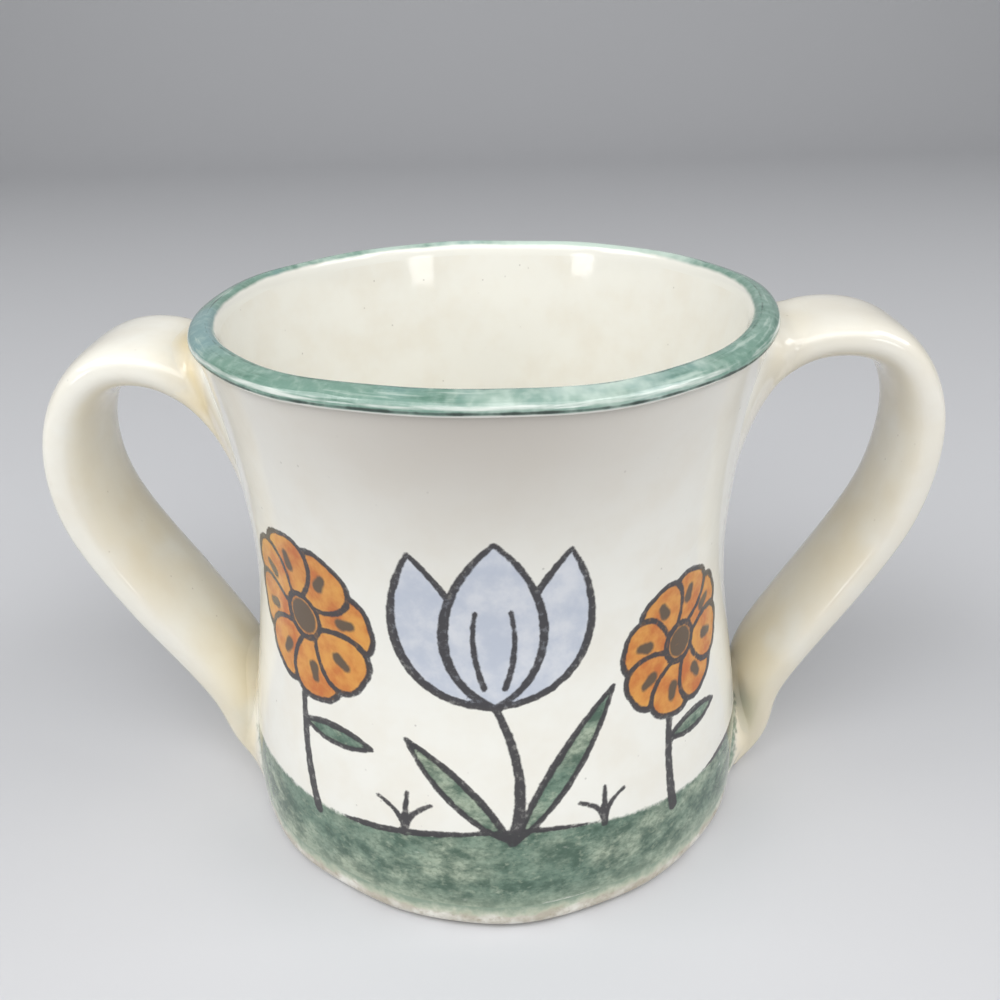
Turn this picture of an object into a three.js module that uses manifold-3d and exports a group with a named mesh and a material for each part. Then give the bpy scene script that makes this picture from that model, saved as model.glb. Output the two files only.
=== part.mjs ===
// A two-handled mug, slab built in glazed earthenware. Millimetres, +Z up.
// The origin is on the table, under the centre of the floor, and the handles lie along X.
import * as THREE from "three";
import { mergeVertices } from "three/addons/utils/BufferGeometryUtils.js";
import Module from "manifold-3d";

const wasm = await Module();
wasm.setup();

// Driving dimensions of the cup
const HEIGHT = 93.8;
const RIM_RADIUS = 47.5;
const FOOT_INSET = 0.2; // how far the foot stays inside the rim
const WAIST_INSET = 5.3; // how far the waist draws in from the rim
const WAIST_HEIGHT = 53;
const FLARE_POWER = 1.7; // how late the wall swings out between waist and lip
const WALL_THICKNESS = 4;
const FLOOR_THICKNESS = 5.5;
const FOOT_ROUNDING = 2.5;
const LIP_HEIGHT = 2.6;
const LIP_OVERHANG = 0.8; // how far the lip stands proud of the wall below it
const LIP_ROUNDING = 1.2;
const SEAM_COIL_SIZE = 4; // the fillet of clay between floor and wall, inside
const SEAM_COIL_FULLNESS = 1 / 3; // how much of the corner the fillet's hollow face leaves filled

// Driving dimensions of the joints between clay pieces
const JOINT_GAP = 0.3; // the slip layer, left as a clearance
const ROOT_COIL_REACH = 3.2; // how far a root coil runs out along the strap and the wall

// Each handle is a strap. Its path runs from a root inside the wall, up over the crown, out to the
// belly and down to a tail that lies along the wall. OUT is how far the strap's centre line stands
// off the wall, DROP is measured down from the lip's underside, and RISE up from the table.
const STRAP_FULLNESS = 0.72; // between an ellipse, at 0.55, and a square section, at 1

// Left handle
const LEFT_WIDTH = 24;
const LEFT_THICKNESS = 8;
const LEFT_ROOT_DEPTH = 1.5;
const LEFT_ROOT_DROP = 13.4;
const LEFT_SHOULDER_OUT = 6.9;
const LEFT_SHOULDER_DROP = 6.3;
const LEFT_CROWN_OUT = 16.9;
const LEFT_CROWN_DROP = 6.1;
const LEFT_SIDE_OUT = 25.9;
const LEFT_SIDE_DROP = 14.8;
const LEFT_BELLY_OUT = 28.8;
const LEFT_BELLY_DROP = 31.8;
const LEFT_LANDING_OUT = 4.9;
const LEFT_LANDING_RISE = 20.4;
const LEFT_TAIL_OUT = 0.3;
const LEFT_TAIL_RISE = 9;

// Right handle
const RIGHT_WIDTH = 21;
const RIGHT_THICKNESS = 7.2;
const RIGHT_ROOT_DEPTH = 3;
const RIGHT_ROOT_DROP = 12.8;
const RIGHT_SHOULDER_OUT = 6.4;
const RIGHT_SHOULDER_DROP = 4.3;
const RIGHT_CROWN_OUT = 20;
const RIGHT_CROWN_DROP = 5.2;
const RIGHT_SIDE_OUT = 28.5;
const RIGHT_SIDE_DROP = 15.2;
const RIGHT_BELLY_OUT = 29.5;
const RIGHT_BELLY_DROP = 34.1;
const RIGHT_LANDING_OUT = 4.6;
const RIGHT_LANDING_RISE = 18.2;
const RIGHT_TAIL_OUT = 1.1;
const RIGHT_TAIL_RISE = 8.5;

// How finely the round forms are faceted
const TURN_SEGMENTS = 56;
const WALL_STEPS = 11;
const CURVE_STEPS = 2;
const STRAP_STEPS = 30;
const STRAP_CORNER_STEPS = 4;
const ROOT_COIL_STEPS = 28;
const SEARCH_STEPS = 400; // how finely a strap is searched for where it meets the wall
const MERGE_DISTANCE = 1e-4; // vertices nearer than this are one

// Places that follow from the driving dimensions
const LIP_SEAT = HEIGHT - LIP_HEIGHT;
const SEAT_RADIUS = RIM_RADIUS - LIP_OVERHANG;
const FOOT_RADIUS = RIM_RADIUS - FOOT_INSET;
const WAIST_RADIUS = RIM_RADIUS - WAIST_INSET;
const LEFT_HANDLE = {
  width: LEFT_WIDTH,
  thickness: LEFT_THICKNESS,
  path: [
    { out: -LEFT_ROOT_DEPTH, z: LIP_SEAT - LEFT_ROOT_DROP },
    { out: LEFT_SHOULDER_OUT, z: LIP_SEAT - LEFT_SHOULDER_DROP },
    { out: LEFT_CROWN_OUT, z: LIP_SEAT - LEFT_CROWN_DROP },
    { out: LEFT_SIDE_OUT, z: LIP_SEAT - LEFT_SIDE_DROP },
    { out: LEFT_BELLY_OUT, z: LIP_SEAT - LEFT_BELLY_DROP },
    { out: LEFT_LANDING_OUT, z: LEFT_LANDING_RISE },
    { out: LEFT_TAIL_OUT, z: LEFT_TAIL_RISE },
  ],
};
const RIGHT_HANDLE = {
  width: RIGHT_WIDTH,
  thickness: RIGHT_THICKNESS,
  path: [
    { out: -RIGHT_ROOT_DEPTH, z: LIP_SEAT - RIGHT_ROOT_DROP },
    { out: RIGHT_SHOULDER_OUT, z: LIP_SEAT - RIGHT_SHOULDER_DROP },
    { out: RIGHT_CROWN_OUT, z: LIP_SEAT - RIGHT_CROWN_DROP },
    { out: RIGHT_SIDE_OUT, z: LIP_SEAT - RIGHT_SIDE_DROP },
    { out: RIGHT_BELLY_OUT, z: LIP_SEAT - RIGHT_BELLY_DROP },
    { out: RIGHT_LANDING_OUT, z: RIGHT_LANDING_RISE },
    { out: RIGHT_TAIL_OUT, z: RIGHT_TAIL_RISE },
  ],
};

// Glaze colours
const CREAM = 0xe9e3d0;
const GREEN = 0x6f9682;
const GLAZE_ROUGHNESS = 0.18;

// Outer radius of the wall at a height: a smooth step from foot to waist, then a flare to the lip.
function wallRadius(z) {
  if (z <= WAIST_HEIGHT) {
    const t = Math.min(1, (WAIST_HEIGHT - z) / (WAIST_HEIGHT - FLOOR_THICKNESS));
    return THREE.MathUtils.lerp(WAIST_RADIUS, FOOT_RADIUS, t * t * (3 - 2 * t));
  }
  const t = Math.min(1, (z - WAIST_HEIGHT) / (LIP_SEAT - WAIST_HEIGHT));
  return THREE.MathUtils.lerp(WAIST_RADIUS, SEAT_RADIUS, t ** FLARE_POWER);
}

function innerRadius(z) {
  return wallRadius(z) - WALL_THICKNESS;
}

// Points up a side of the wall, from low to high, each moved out by an offset.
function wallPoints(low, high, offset) {
  return Array.from({ length: WALL_STEPS + 1 }, (_, i) => {
    const z = THREE.MathUtils.lerp(low, high, i / WALL_STEPS);
    return new THREE.Vector2(wallRadius(z) + offset, z);
  });
}

// A solid turned about Z from a closed outline of radius and height.
function turned(outline) {
  return new THREE.LatheGeometry(outline, TURN_SEGMENTS).rotateX(Math.PI / 2);
}

function toSolid(geometry) {
  const bare = geometry.clone();
  bare.deleteAttribute("normal");
  bare.deleteAttribute("uv");
  const merged = mergeVertices(bare, MERGE_DISTANCE);
  return new wasm.Manifold(
    new wasm.Mesh({
      numProp: 3,
      vertProperties: new Float32Array(merged.attributes.position.array),
      triVerts: new Uint32Array(merged.index.array),
    }),
  );
}

function toGeometry(solid) {
  const { vertProperties, triVerts } = solid.getMesh();
  const geometry = new THREE.BufferGeometry();
  geometry.setAttribute("position", new THREE.BufferAttribute(vertProperties, 3));
  geometry.setIndex(new THREE.BufferAttribute(triVerts, 1));
  geometry.computeVertexNormals();
  return geometry;
}

// The floor: a disc with its lower edge rounded over.
function floorSlab() {
  const outline = new THREE.Path()
    .moveTo(0, 0)
    .lineTo(FOOT_RADIUS - FOOT_ROUNDING, 0)
    .absarc(FOOT_RADIUS - FOOT_ROUNDING, FOOT_ROUNDING, FOOT_ROUNDING, -Math.PI / 2, 0)
    .lineTo(FOOT_RADIUS, FLOOR_THICKNESS)
    .lineTo(0, FLOOR_THICKNESS);
  return turned(outline.getPoints(CURVE_STEPS));
}

// The wall: one slab bent round into a waisted tube, standing on the floor.
function wall() {
  const outside = wallPoints(FLOOR_THICKNESS, LIP_SEAT, 0);
  const inside = wallPoints(FLOOR_THICKNESS, LIP_SEAT, -WALL_THICKNESS).reverse();
  return turned([...outside, ...inside, outside[0]]);
}

// The lip: a flat-topped coil on the wall's top edge, rounded over and a little proud outside.
function lipCoil() {
  const inner = SEAT_RADIUS - WALL_THICKNESS;
  const shoulder = HEIGHT - LIP_ROUNDING;
  const outline = new THREE.Path()
    .moveTo(inner, LIP_SEAT)
    .lineTo(SEAT_RADIUS, LIP_SEAT)
    .quadraticCurveTo(RIM_RADIUS, LIP_SEAT, RIM_RADIUS, shoulder)
    .absarc(RIM_RADIUS - LIP_ROUNDING, shoulder, LIP_ROUNDING, 0, Math.PI / 2)
    .absarc(inner + LIP_ROUNDING, shoulder, LIP_ROUNDING, Math.PI / 2, Math.PI)
    .lineTo(inner, LIP_SEAT);
  return turned(outline.getPoints(CURVE_STEPS));
}

// The coil pressed into the corner between floor and wall, with a hollow face.
function seamCoil() {
  const top = FLOOR_THICKNESS + SEAM_COIL_SIZE;
  const back = Math.min(innerRadius(FLOOR_THICKNESS), innerRadius(top)) - JOINT_GAP;
  const hollow = SEAM_COIL_SIZE * SEAM_COIL_FULLNESS;
  const outline = new THREE.Path()
    .moveTo(back - SEAM_COIL_SIZE, FLOOR_THICKNESS)
    .lineTo(back, FLOOR_THICKNESS)
    .lineTo(back, top)
    .quadraticCurveTo(back - hollow, FLOOR_THICKNESS + hollow, back - SEAM_COIL_SIZE, FLOOR_THICKNESS);
  return turned(outline.getPoints(CURVE_STEPS));
}

// The whole cup as one solid, grown by the joint gap, that cuts what is joined to its outside.
function cupCutter() {
  const underLip = LIP_SEAT - JOINT_GAP;
  const side = wallPoints(FLOOR_THICKNESS, underLip, JOINT_GAP);
  const outline = [
    new THREE.Vector2(0, 0),
    new THREE.Vector2(FOOT_RADIUS + JOINT_GAP, 0),
    ...side,
    new THREE.Vector2(RIM_RADIUS + JOINT_GAP, underLip),
    new THREE.Vector2(RIM_RADIUS + JOINT_GAP, HEIGHT),
    new THREE.Vector2(0, HEIGHT),
  ];
  return toSolid(turned(outline));
}

// The centre line of a strap, in the XZ plane on the +X side.
function strapPath(handle) {
  const points = handle.path.map(({ out, z }) => new THREE.Vector3(wallRadius(z) + out, 0, z));
  return new THREE.CatmullRomCurve3(points, false, "centripetal");
}

// The strap's section: a flattened oval, its width across the handle. grow widens it all round.
function strapSection(handle, grow) {
  const w = handle.width / 2 + grow;
  const t = handle.thickness / 2 + grow;
  const k = STRAP_FULLNESS;
  return new THREE.Shape()
    .moveTo(w, 0)
    .bezierCurveTo(w, t * k, w * k, t, 0, t)
    .bezierCurveTo(-w * k, t, -w, t * k, -w, 0)
    .bezierCurveTo(-w, -t * k, -w * k, -t, 0, -t)
    .bezierCurveTo(w * k, -t, w, -t * k, w, 0);
}

function strapSolid(handle, grow) {
  return toSolid(new THREE.ExtrudeGeometry(strapSection(handle, grow), {
    steps: STRAP_STEPS,
    curveSegments: STRAP_CORNER_STEPS,
    extrudePath: strapPath(handle),
  }));
}

// A point of the strap's skin: corner is a point of its section, and along runs down the path.
function strapSkin(path, corner, along) {
  const tangent = path.getTangentAt(along);
  const through = new THREE.Vector3(tangent.z, 0, -tangent.x);
  const across = new THREE.Vector3(0, 1, 0);
  return path.getPointAt(along).addScaledVector(across, corner.x).addScaledVector(through, corner.y);
}

// A point of the wall's outer skin, moved out by an offset.
function wallSkin(angle, z, offset) {
  const r = wallRadius(z) + offset;
  return new THREE.Vector3(r * Math.cos(angle), r * Math.sin(angle), z);
}

// How far from a strap's end, as a share of its path, one line of its skin comes out of the wall.
function sunkShare(path, corner, end) {
  for (let step = 0; step < SEARCH_STEPS; step += 1) {
    const share = step / SEARCH_STEPS;
    const point = strapSkin(path, corner, Math.abs(end - share));
    if (Math.hypot(point.x, point.y) >= wallRadius(point.z)) return share;
  }
  return 0;
}

// A closed tube through rings of points, each ring the same length and the last joined to the first.
function closedTube(rings) {
  const sides = rings[0].length;
  const index = [];
  rings.forEach((_, i) => {
    const a = i * sides;
    const b = ((i + 1) % rings.length) * sides;
    for (let j = 0; j < sides; j += 1) {
      const k = (j + 1) % sides;
      index.push(a + j, b + j, b + k, a + j, b + k, a + k);
    }
  });
  const geometry = new THREE.BufferGeometry().setFromPoints(rings.flat());
  return geometry.setIndex(index);
}

// The coil of clay round a strap's root: a three-sided ring from the strap's skin to the wall's,
// cut back from both by the joint gap. end is 0 at the upper root and 1 at the lower.
function rootCoil(handle, cutter, end) {
  const path = strapPath(handle);
  const reach = ROOT_COIL_REACH / path.getLength();
  const corners = strapSection(handle, 0).getSpacedPoints(ROOT_COIL_STEPS).slice(1);
  const loop = corners.map((corner) => {
    const share = sunkShare(path, corner, end);
    const meet = strapSkin(path, corner, Math.abs(end - share));
    const onStrap = strapSkin(path, corner, Math.abs(end - share - reach));
    return { onStrap, angle: Math.atan2(meet.y, meet.x), z: meet.z };
  });
  const heights = loop.map(({ z }) => z);
  const middle = (Math.max(...heights) + Math.min(...heights)) / 2;
  const slimness = (handle.width / (Math.max(...heights) - Math.min(...heights))) ** 2;
  const rings = loop.map(({ onStrap, angle, z }) => {
    const r = wallRadius(z);
    const away = new THREE.Vector2(angle * r, (z - middle) * slimness).setLength(ROOT_COIL_REACH);
    const onWall = wallSkin(angle + away.x / r, z + away.y, 0);
    const inside = wallSkin(angle, z, -WALL_THICKNESS / 2);
    return end ? [onStrap, inside, onWall] : [onStrap, onWall, inside];
  });
  return toSolid(closedTube(rings)).subtract(strapSolid(handle, JOINT_GAP)).subtract(cutter);
}

function piece(name, geometry, color) {
  const material = new THREE.MeshStandardMaterial({ color, roughness: GLAZE_ROUGHNESS, metalness: 0 });
  const mesh = new THREE.Mesh(geometry, material);
  mesh.name = name;
  return mesh;
}

// One handle with the coils at its two roots, as a group on the +X side.
function handleGroup(side, handle, cutter) {
  const strap = strapSolid(handle, 0).subtract(cutter);
  const group = new THREE.Group();
  group.add(
    piece(`${side}_handle`, toGeometry(strap), CREAM),
    piece(`${side}_upper_root_coil`, toGeometry(rootCoil(handle, cutter, 0)), CREAM),
    piece(`${side}_lower_root_coil`, toGeometry(rootCoil(handle, cutter, 1)), CREAM),
  );
  return group;
}

const mug = new THREE.Group();
const cutter = cupCutter();
mug.add(
  piece("floor_slab", floorSlab(), CREAM),
  piece("wall", wall(), CREAM),
  piece("lip_coil", lipCoil(), GREEN),
  piece("floor_seam_coil", seamCoil(), CREAM),
);
const right = handleGroup("right", RIGHT_HANDLE, cutter);
const left = handleGroup("left", LEFT_HANDLE, cutter);
left.rotation.z = Math.PI;
mug.add(right, left);

export default mug;
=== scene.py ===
"""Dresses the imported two-handled mug as glazed slab pottery with brushed underglaze flowers.

Lengths are in metres in the mug's own frame: the origin is on the table under the cup's axis, +Z is up, the
handles lie along X and the photographed side faces -Y. The painting is worked out in millimetres.
"""

import logging
import math
from dataclasses import dataclass, field
from enum import Enum

import bmesh
import bpy
import numpy as np
from mathutils import Matrix, Vector


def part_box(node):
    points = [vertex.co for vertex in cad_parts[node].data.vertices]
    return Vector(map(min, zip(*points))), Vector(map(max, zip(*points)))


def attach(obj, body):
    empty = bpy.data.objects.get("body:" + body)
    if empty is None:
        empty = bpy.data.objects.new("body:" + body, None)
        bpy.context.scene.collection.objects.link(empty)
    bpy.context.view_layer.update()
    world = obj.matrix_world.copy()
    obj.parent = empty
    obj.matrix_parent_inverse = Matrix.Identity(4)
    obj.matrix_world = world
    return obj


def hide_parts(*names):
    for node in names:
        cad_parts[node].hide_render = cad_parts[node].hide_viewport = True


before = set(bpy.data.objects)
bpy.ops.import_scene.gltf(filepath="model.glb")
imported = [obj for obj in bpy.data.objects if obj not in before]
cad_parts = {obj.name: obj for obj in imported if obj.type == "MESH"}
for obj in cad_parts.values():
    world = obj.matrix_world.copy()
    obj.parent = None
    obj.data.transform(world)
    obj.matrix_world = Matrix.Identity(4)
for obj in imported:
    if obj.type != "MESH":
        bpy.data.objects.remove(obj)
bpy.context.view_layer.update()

logging.basicConfig(level=logging.INFO, format="%(message)s")
log = logging.getLogger("mug")

MM = 0.001
FULL_TURN = 2 * math.pi
FRONT = -math.pi / 2
BACK = math.pi / 2
# Faces that meet at more than this keep a hard edge.
CREASE = math.radians(50)

Tree = bpy.types.NodeTree
Socket = bpy.types.NodeSocket
# A brush line's width in millimetres at its start, halfway and at its end.
Brush = tuple[float, float, float]


class Colour(Enum):
    """Colours of the clay, the glazes and the underglaze paints, as sRGB hex values."""

    CREAM = "F6F5ED"
    CREAM_MOTTLE = "EFEADD"
    # Thick glaze; on the straps' faces towards the finger gap it is painted shade and warm reflection.
    HONEY = "ECDAAE"
    IRON = "5B4A3C"
    # A buff grey laid as painted shade; under the lip it also stands for lean glaze.
    LEAN_AND_SHADE = "CBC5BC"
    CLAY = "B5AB96"
    CLAY_GRAIN = "A89A80"
    LIP_GREEN = "7C9D8F"
    LIP_DEEP = "557A6A"
    LIP_PALE = "CBDCD1"
    LIP_SLATE = "86A8AD"
    # Near-white on the lip's shoulder: worn paint and a painted highlight.
    LIP_WEAR_AND_HIGHLIGHT = "E3EAE3"
    LIP_EDGE = "3B4A43"
    GROUND_GREEN = "718C7B"
    GROUND_DEEP = "3F5B4C"
    GROUND_WASH = "C4CEB6"
    BLUE = "C4CBD8"
    BLUE_WASH = "DDE0E6"
    ORANGE = "E3A24C"
    ORANGE_DEEP = "C97030"
    BROWN = "62503C"
    CHARCOAL = "3A383B"
    FLOOR = "D0D1D4"

    def linear(self) -> tuple[float, float, float, float]:
        """Returns the colour as linear red, green, blue and a full alpha."""
        channels = [int(self.value[i:i + 2], 16) / 255 for i in (0, 2, 4)]
        bent = [c / 12.92 if c <= 0.04045 else ((c + 0.055) / 1.055) ** 2.4 for c in channels]
        return (*bent, 1.0)


class Slot(Enum):
    """The record's material slots."""

    CREAM = "cream_glaze"
    GREEN = "green_glaze"


class Paint(Enum):
    """Underglaze layers, each named as the attribute that holds how far a point is from its edge."""

    GROUND = "ground_edge"
    LEAF = "leaf_edge"
    BLUE = "blue_edge"
    ORANGE = "orange_edge"
    SPOT = "spot_edge"
    LINE = "line_edge"


def smooth_step(low: float, high: float, value: float) -> float:
    """Rises from 0 at low to 1 at high with level ends.

    Args:
        low: Where the rise starts.
        high: Where it ends.
        value: Where it is read.

    Returns:
        A share from 0 to 1.
    """
    t = min(1.0, max(0.0, (value - low) / (high - low)))
    return t * t * (3 - 2 * t)


def grain(size_mm: float) -> float:
    """Returns the texture scale whose pattern repeats about every size_mm millimetres."""
    return 1 / (size_mm * MM)


def add_node(tree: Tree, kind: str, settings: dict | None = None,
             links: dict | None = None) -> bpy.types.Node:
    """Adds a shader node with its settings and links.

    Args:
        tree: The material's node tree.
        kind: The node's type, without its ShaderNode prefix.
        settings: Properties of the node, or input names and numbers with their values.
        links: Input names or numbers with the sockets that feed them.

    Returns:
        The new node.
    """
    node = tree.nodes.new("ShaderNode" + kind)
    for key, value in (settings or {}).items():
        if isinstance(key, str) and hasattr(node, key):
            setattr(node, key, value)
        else:
            node.inputs[key].default_value = value
    for key, socket in (links or {}).items():
        tree.links.new(socket, node.inputs[key])
    return node


def smooth_rise(low: float, high: float, top: float = 1.0) -> dict:
    """Returns the settings of a Map Range that goes smoothly from 0 at low to top at high."""
    return {"interpolation_type": "SMOOTHSTEP", 1: low, 2: high, 3: 0.0, 4: top}


def lay(tree: Tree, under: Socket | Colour, over: Socket | Colour, *shares: Socket) -> Socket:
    """Lays a paint over what is below it.

    Args:
        tree: The material's node tree.
        under: The colour below.
        over: The paint's colour.
        shares: Sockets whose product says how much of the paint shows.

    Returns:
        The painted colour's socket.
    """
    whole = shares[0]
    for share in shares[1:]:
        whole = add_node(tree, "Math", {"operation": "MULTIPLY"}, {0: whole, 1: share}).outputs[0]
    mix = add_node(tree, "Mix", {"data_type": "RGBA"}, {0: whole})
    for place, colour in ((6, under), (7, over)):
        if isinstance(colour, Colour):
            mix.inputs[place].default_value = colour.linear()
        else:
            tree.links.new(colour, mix.inputs[place])
    return mix.outputs[2]


def patches(tree: Tree, place: Socket, size_mm: float, detail: float = 3.0,
            stretch: tuple[float, float, float] = (1, 1, 1)) -> Socket:
    """Makes a cloudy pattern of a real size.

    Args:
        tree: The material's node tree.
        place: The coordinates to read.
        size_mm: The size of a patch.
        detail: How many finer patterns are added.
        stretch: How much denser the pattern is along each axis.

    Returns:
        The pattern's socket, from 0 to 1.
    """
    turned = add_node(tree, "Mapping", {"Scale": stretch}, {"Vector": place})
    settings = {"Scale": grain(size_mm), "Detail": detail, "Roughness": 0.6}
    return add_node(tree, "TexNoise", settings, {"Vector": turned.outputs[0]}).outputs[0]


def dapple(tree: Tree, place: Socket, size_mm: float, rise: dict, detail: float = 3.0,
           stretch: tuple[float, float, float] = (1, 1, 1)) -> Socket:
    """Makes soft-edged dapples out of a cloudy pattern.

    Args:
        tree: The material's node tree.
        place: The coordinates to read.
        size_mm: The size of a dapple.
        rise: How the dapples rise from the pattern, as smooth_rise says it.
        detail: How many finer patterns are added.
        stretch: How much denser the pattern is along each axis.

    Returns:
        The dapples' socket.
    """
    cloud = patches(tree, place, size_mm, detail, stretch)
    return add_node(tree, "MapRange", rise, {0: cloud}).outputs[0]


@dataclass(frozen=True)
class Glaze:
    """A glossy lead-free glaze over light earthenware, dipped and fired.

    The eye sees an ivory body under clear glass: soft reflections from a gently uneven skin, faint
    mottling, a honey tint where the glaze is thick, and a few iron specks.
    """

    name: str = "cream glaze on earthenware"
    roughness: float = 0.08
    ior: float = 1.5
    mottle_mm: float = 9.0
    speck_cell_mm: float = 2.2
    speck_mm: float = 0.27
    speck_core: float = 0.3
    pool_mm: float = 11.0
    swell_mm: float = 14.0
    swell_height_mm: float = 0.2
    peel_mm: float = 1.6
    peel_height_mm: float = 0.012

    def start(self) -> tuple[bpy.types.Material, Tree, Socket]:
        """Returns a new empty material, its node tree and its Object coordinates."""
        material = bpy.data.materials.new(self.name)
        material.use_nodes = True
        tree = material.node_tree
        tree.nodes.clear()
        return material, tree, add_node(tree, "TexCoord").outputs["Object"]

    def body_colour(self, tree: Tree, place: Socket) -> Socket:
        """Builds the mottled ivory colour with its iron specks.

        Args:
            tree: The material's node tree.
            place: The Object coordinates.

        Returns:
            The colour's socket.
        """
        cloud = dapple(tree, place, self.mottle_mm, smooth_rise(0.35, 0.75, 0.55))
        colour = lay(tree, Colour.CREAM, Colour.CREAM_MOTTLE, cloud)
        cells = add_node(tree, "TexVoronoi", {"Scale": grain(self.speck_cell_mm)}, {"Vector": place})
        rare = add_node(tree, "MapRange", smooth_rise(0.7, 0.82), {0: cells.outputs["Color"]})
        size = self.speck_mm / self.speck_cell_mm
        inwards = smooth_rise(size, size * self.speck_core, 0.32)
        near = add_node(tree, "MapRange", inwards, {0: cells.outputs["Distance"]})
        return lay(tree, colour, Colour.IRON, rare.outputs[0], near.outputs[0])

    def pooled(self, tree: Tree, place: Socket, colour: Socket) -> Socket:
        """Warms a colour where the pool attribute says the glaze ran thick; on straps it also holds painted
        shade.

        Args:
            tree: The material's node tree.
            place: The Object coordinates.
            colour: The colour under the pooled glaze.

        Returns:
            The warmed colour's socket.
        """
        pool = add_node(tree, "Attribute", {"attribute_name": "pool"}).outputs["Fac"]
        cloud = dapple(tree, place, self.pool_mm, smooth_rise(0.1, 0.6), 1.0)
        return lay(tree, colour, Colour.HONEY, pool, cloud)

    def skin(self, tree: Tree, place: Socket) -> Socket:
        """Builds the glaze's slow swell and fine peel as a bumped normal.

        Args:
            tree: The material's node tree.
            place: The Object coordinates.

        Returns:
            The normal's socket.
        """
        swell = {"Height": patches(tree, place, self.swell_mm, 1.0)}
        low = add_node(tree, "Bump", {"Strength": 1.0, "Distance": self.swell_height_mm * MM}, swell)
        peel = {"Height": patches(tree, place, self.peel_mm, 1.0), "Normal": low.outputs[0]}
        fine = add_node(tree, "Bump", {"Strength": 1.0, "Distance": self.peel_height_mm * MM}, peel)
        return fine.outputs[0]

    def close(self, tree: Tree, colour: Socket, normal: Socket) -> bpy.types.Node:
        """Joins a colour and a normal to a glossy surface and the material's output.

        Args:
            tree: The material's node tree.
            colour: The base colour's socket.
            normal: The normal's socket.

        Returns:
            The surface's shader node.
        """
        settings = {"Roughness": self.roughness, "IOR": self.ior}
        links = {"Base Color": colour, "Normal": normal}
        surface = add_node(tree, "BsdfPrincipled", settings, links)
        add_node(tree, "OutputMaterial", None, {"Surface": surface.outputs[0]})
        return surface

    def build(self) -> bpy.types.Material:
        """Returns the plain glaze, with its pooling."""
        material, tree, place = self.start()
        colour = self.pooled(tree, place, self.body_colour(tree, place))
        self.close(tree, colour, self.skin(tree, place))
        return material


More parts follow.
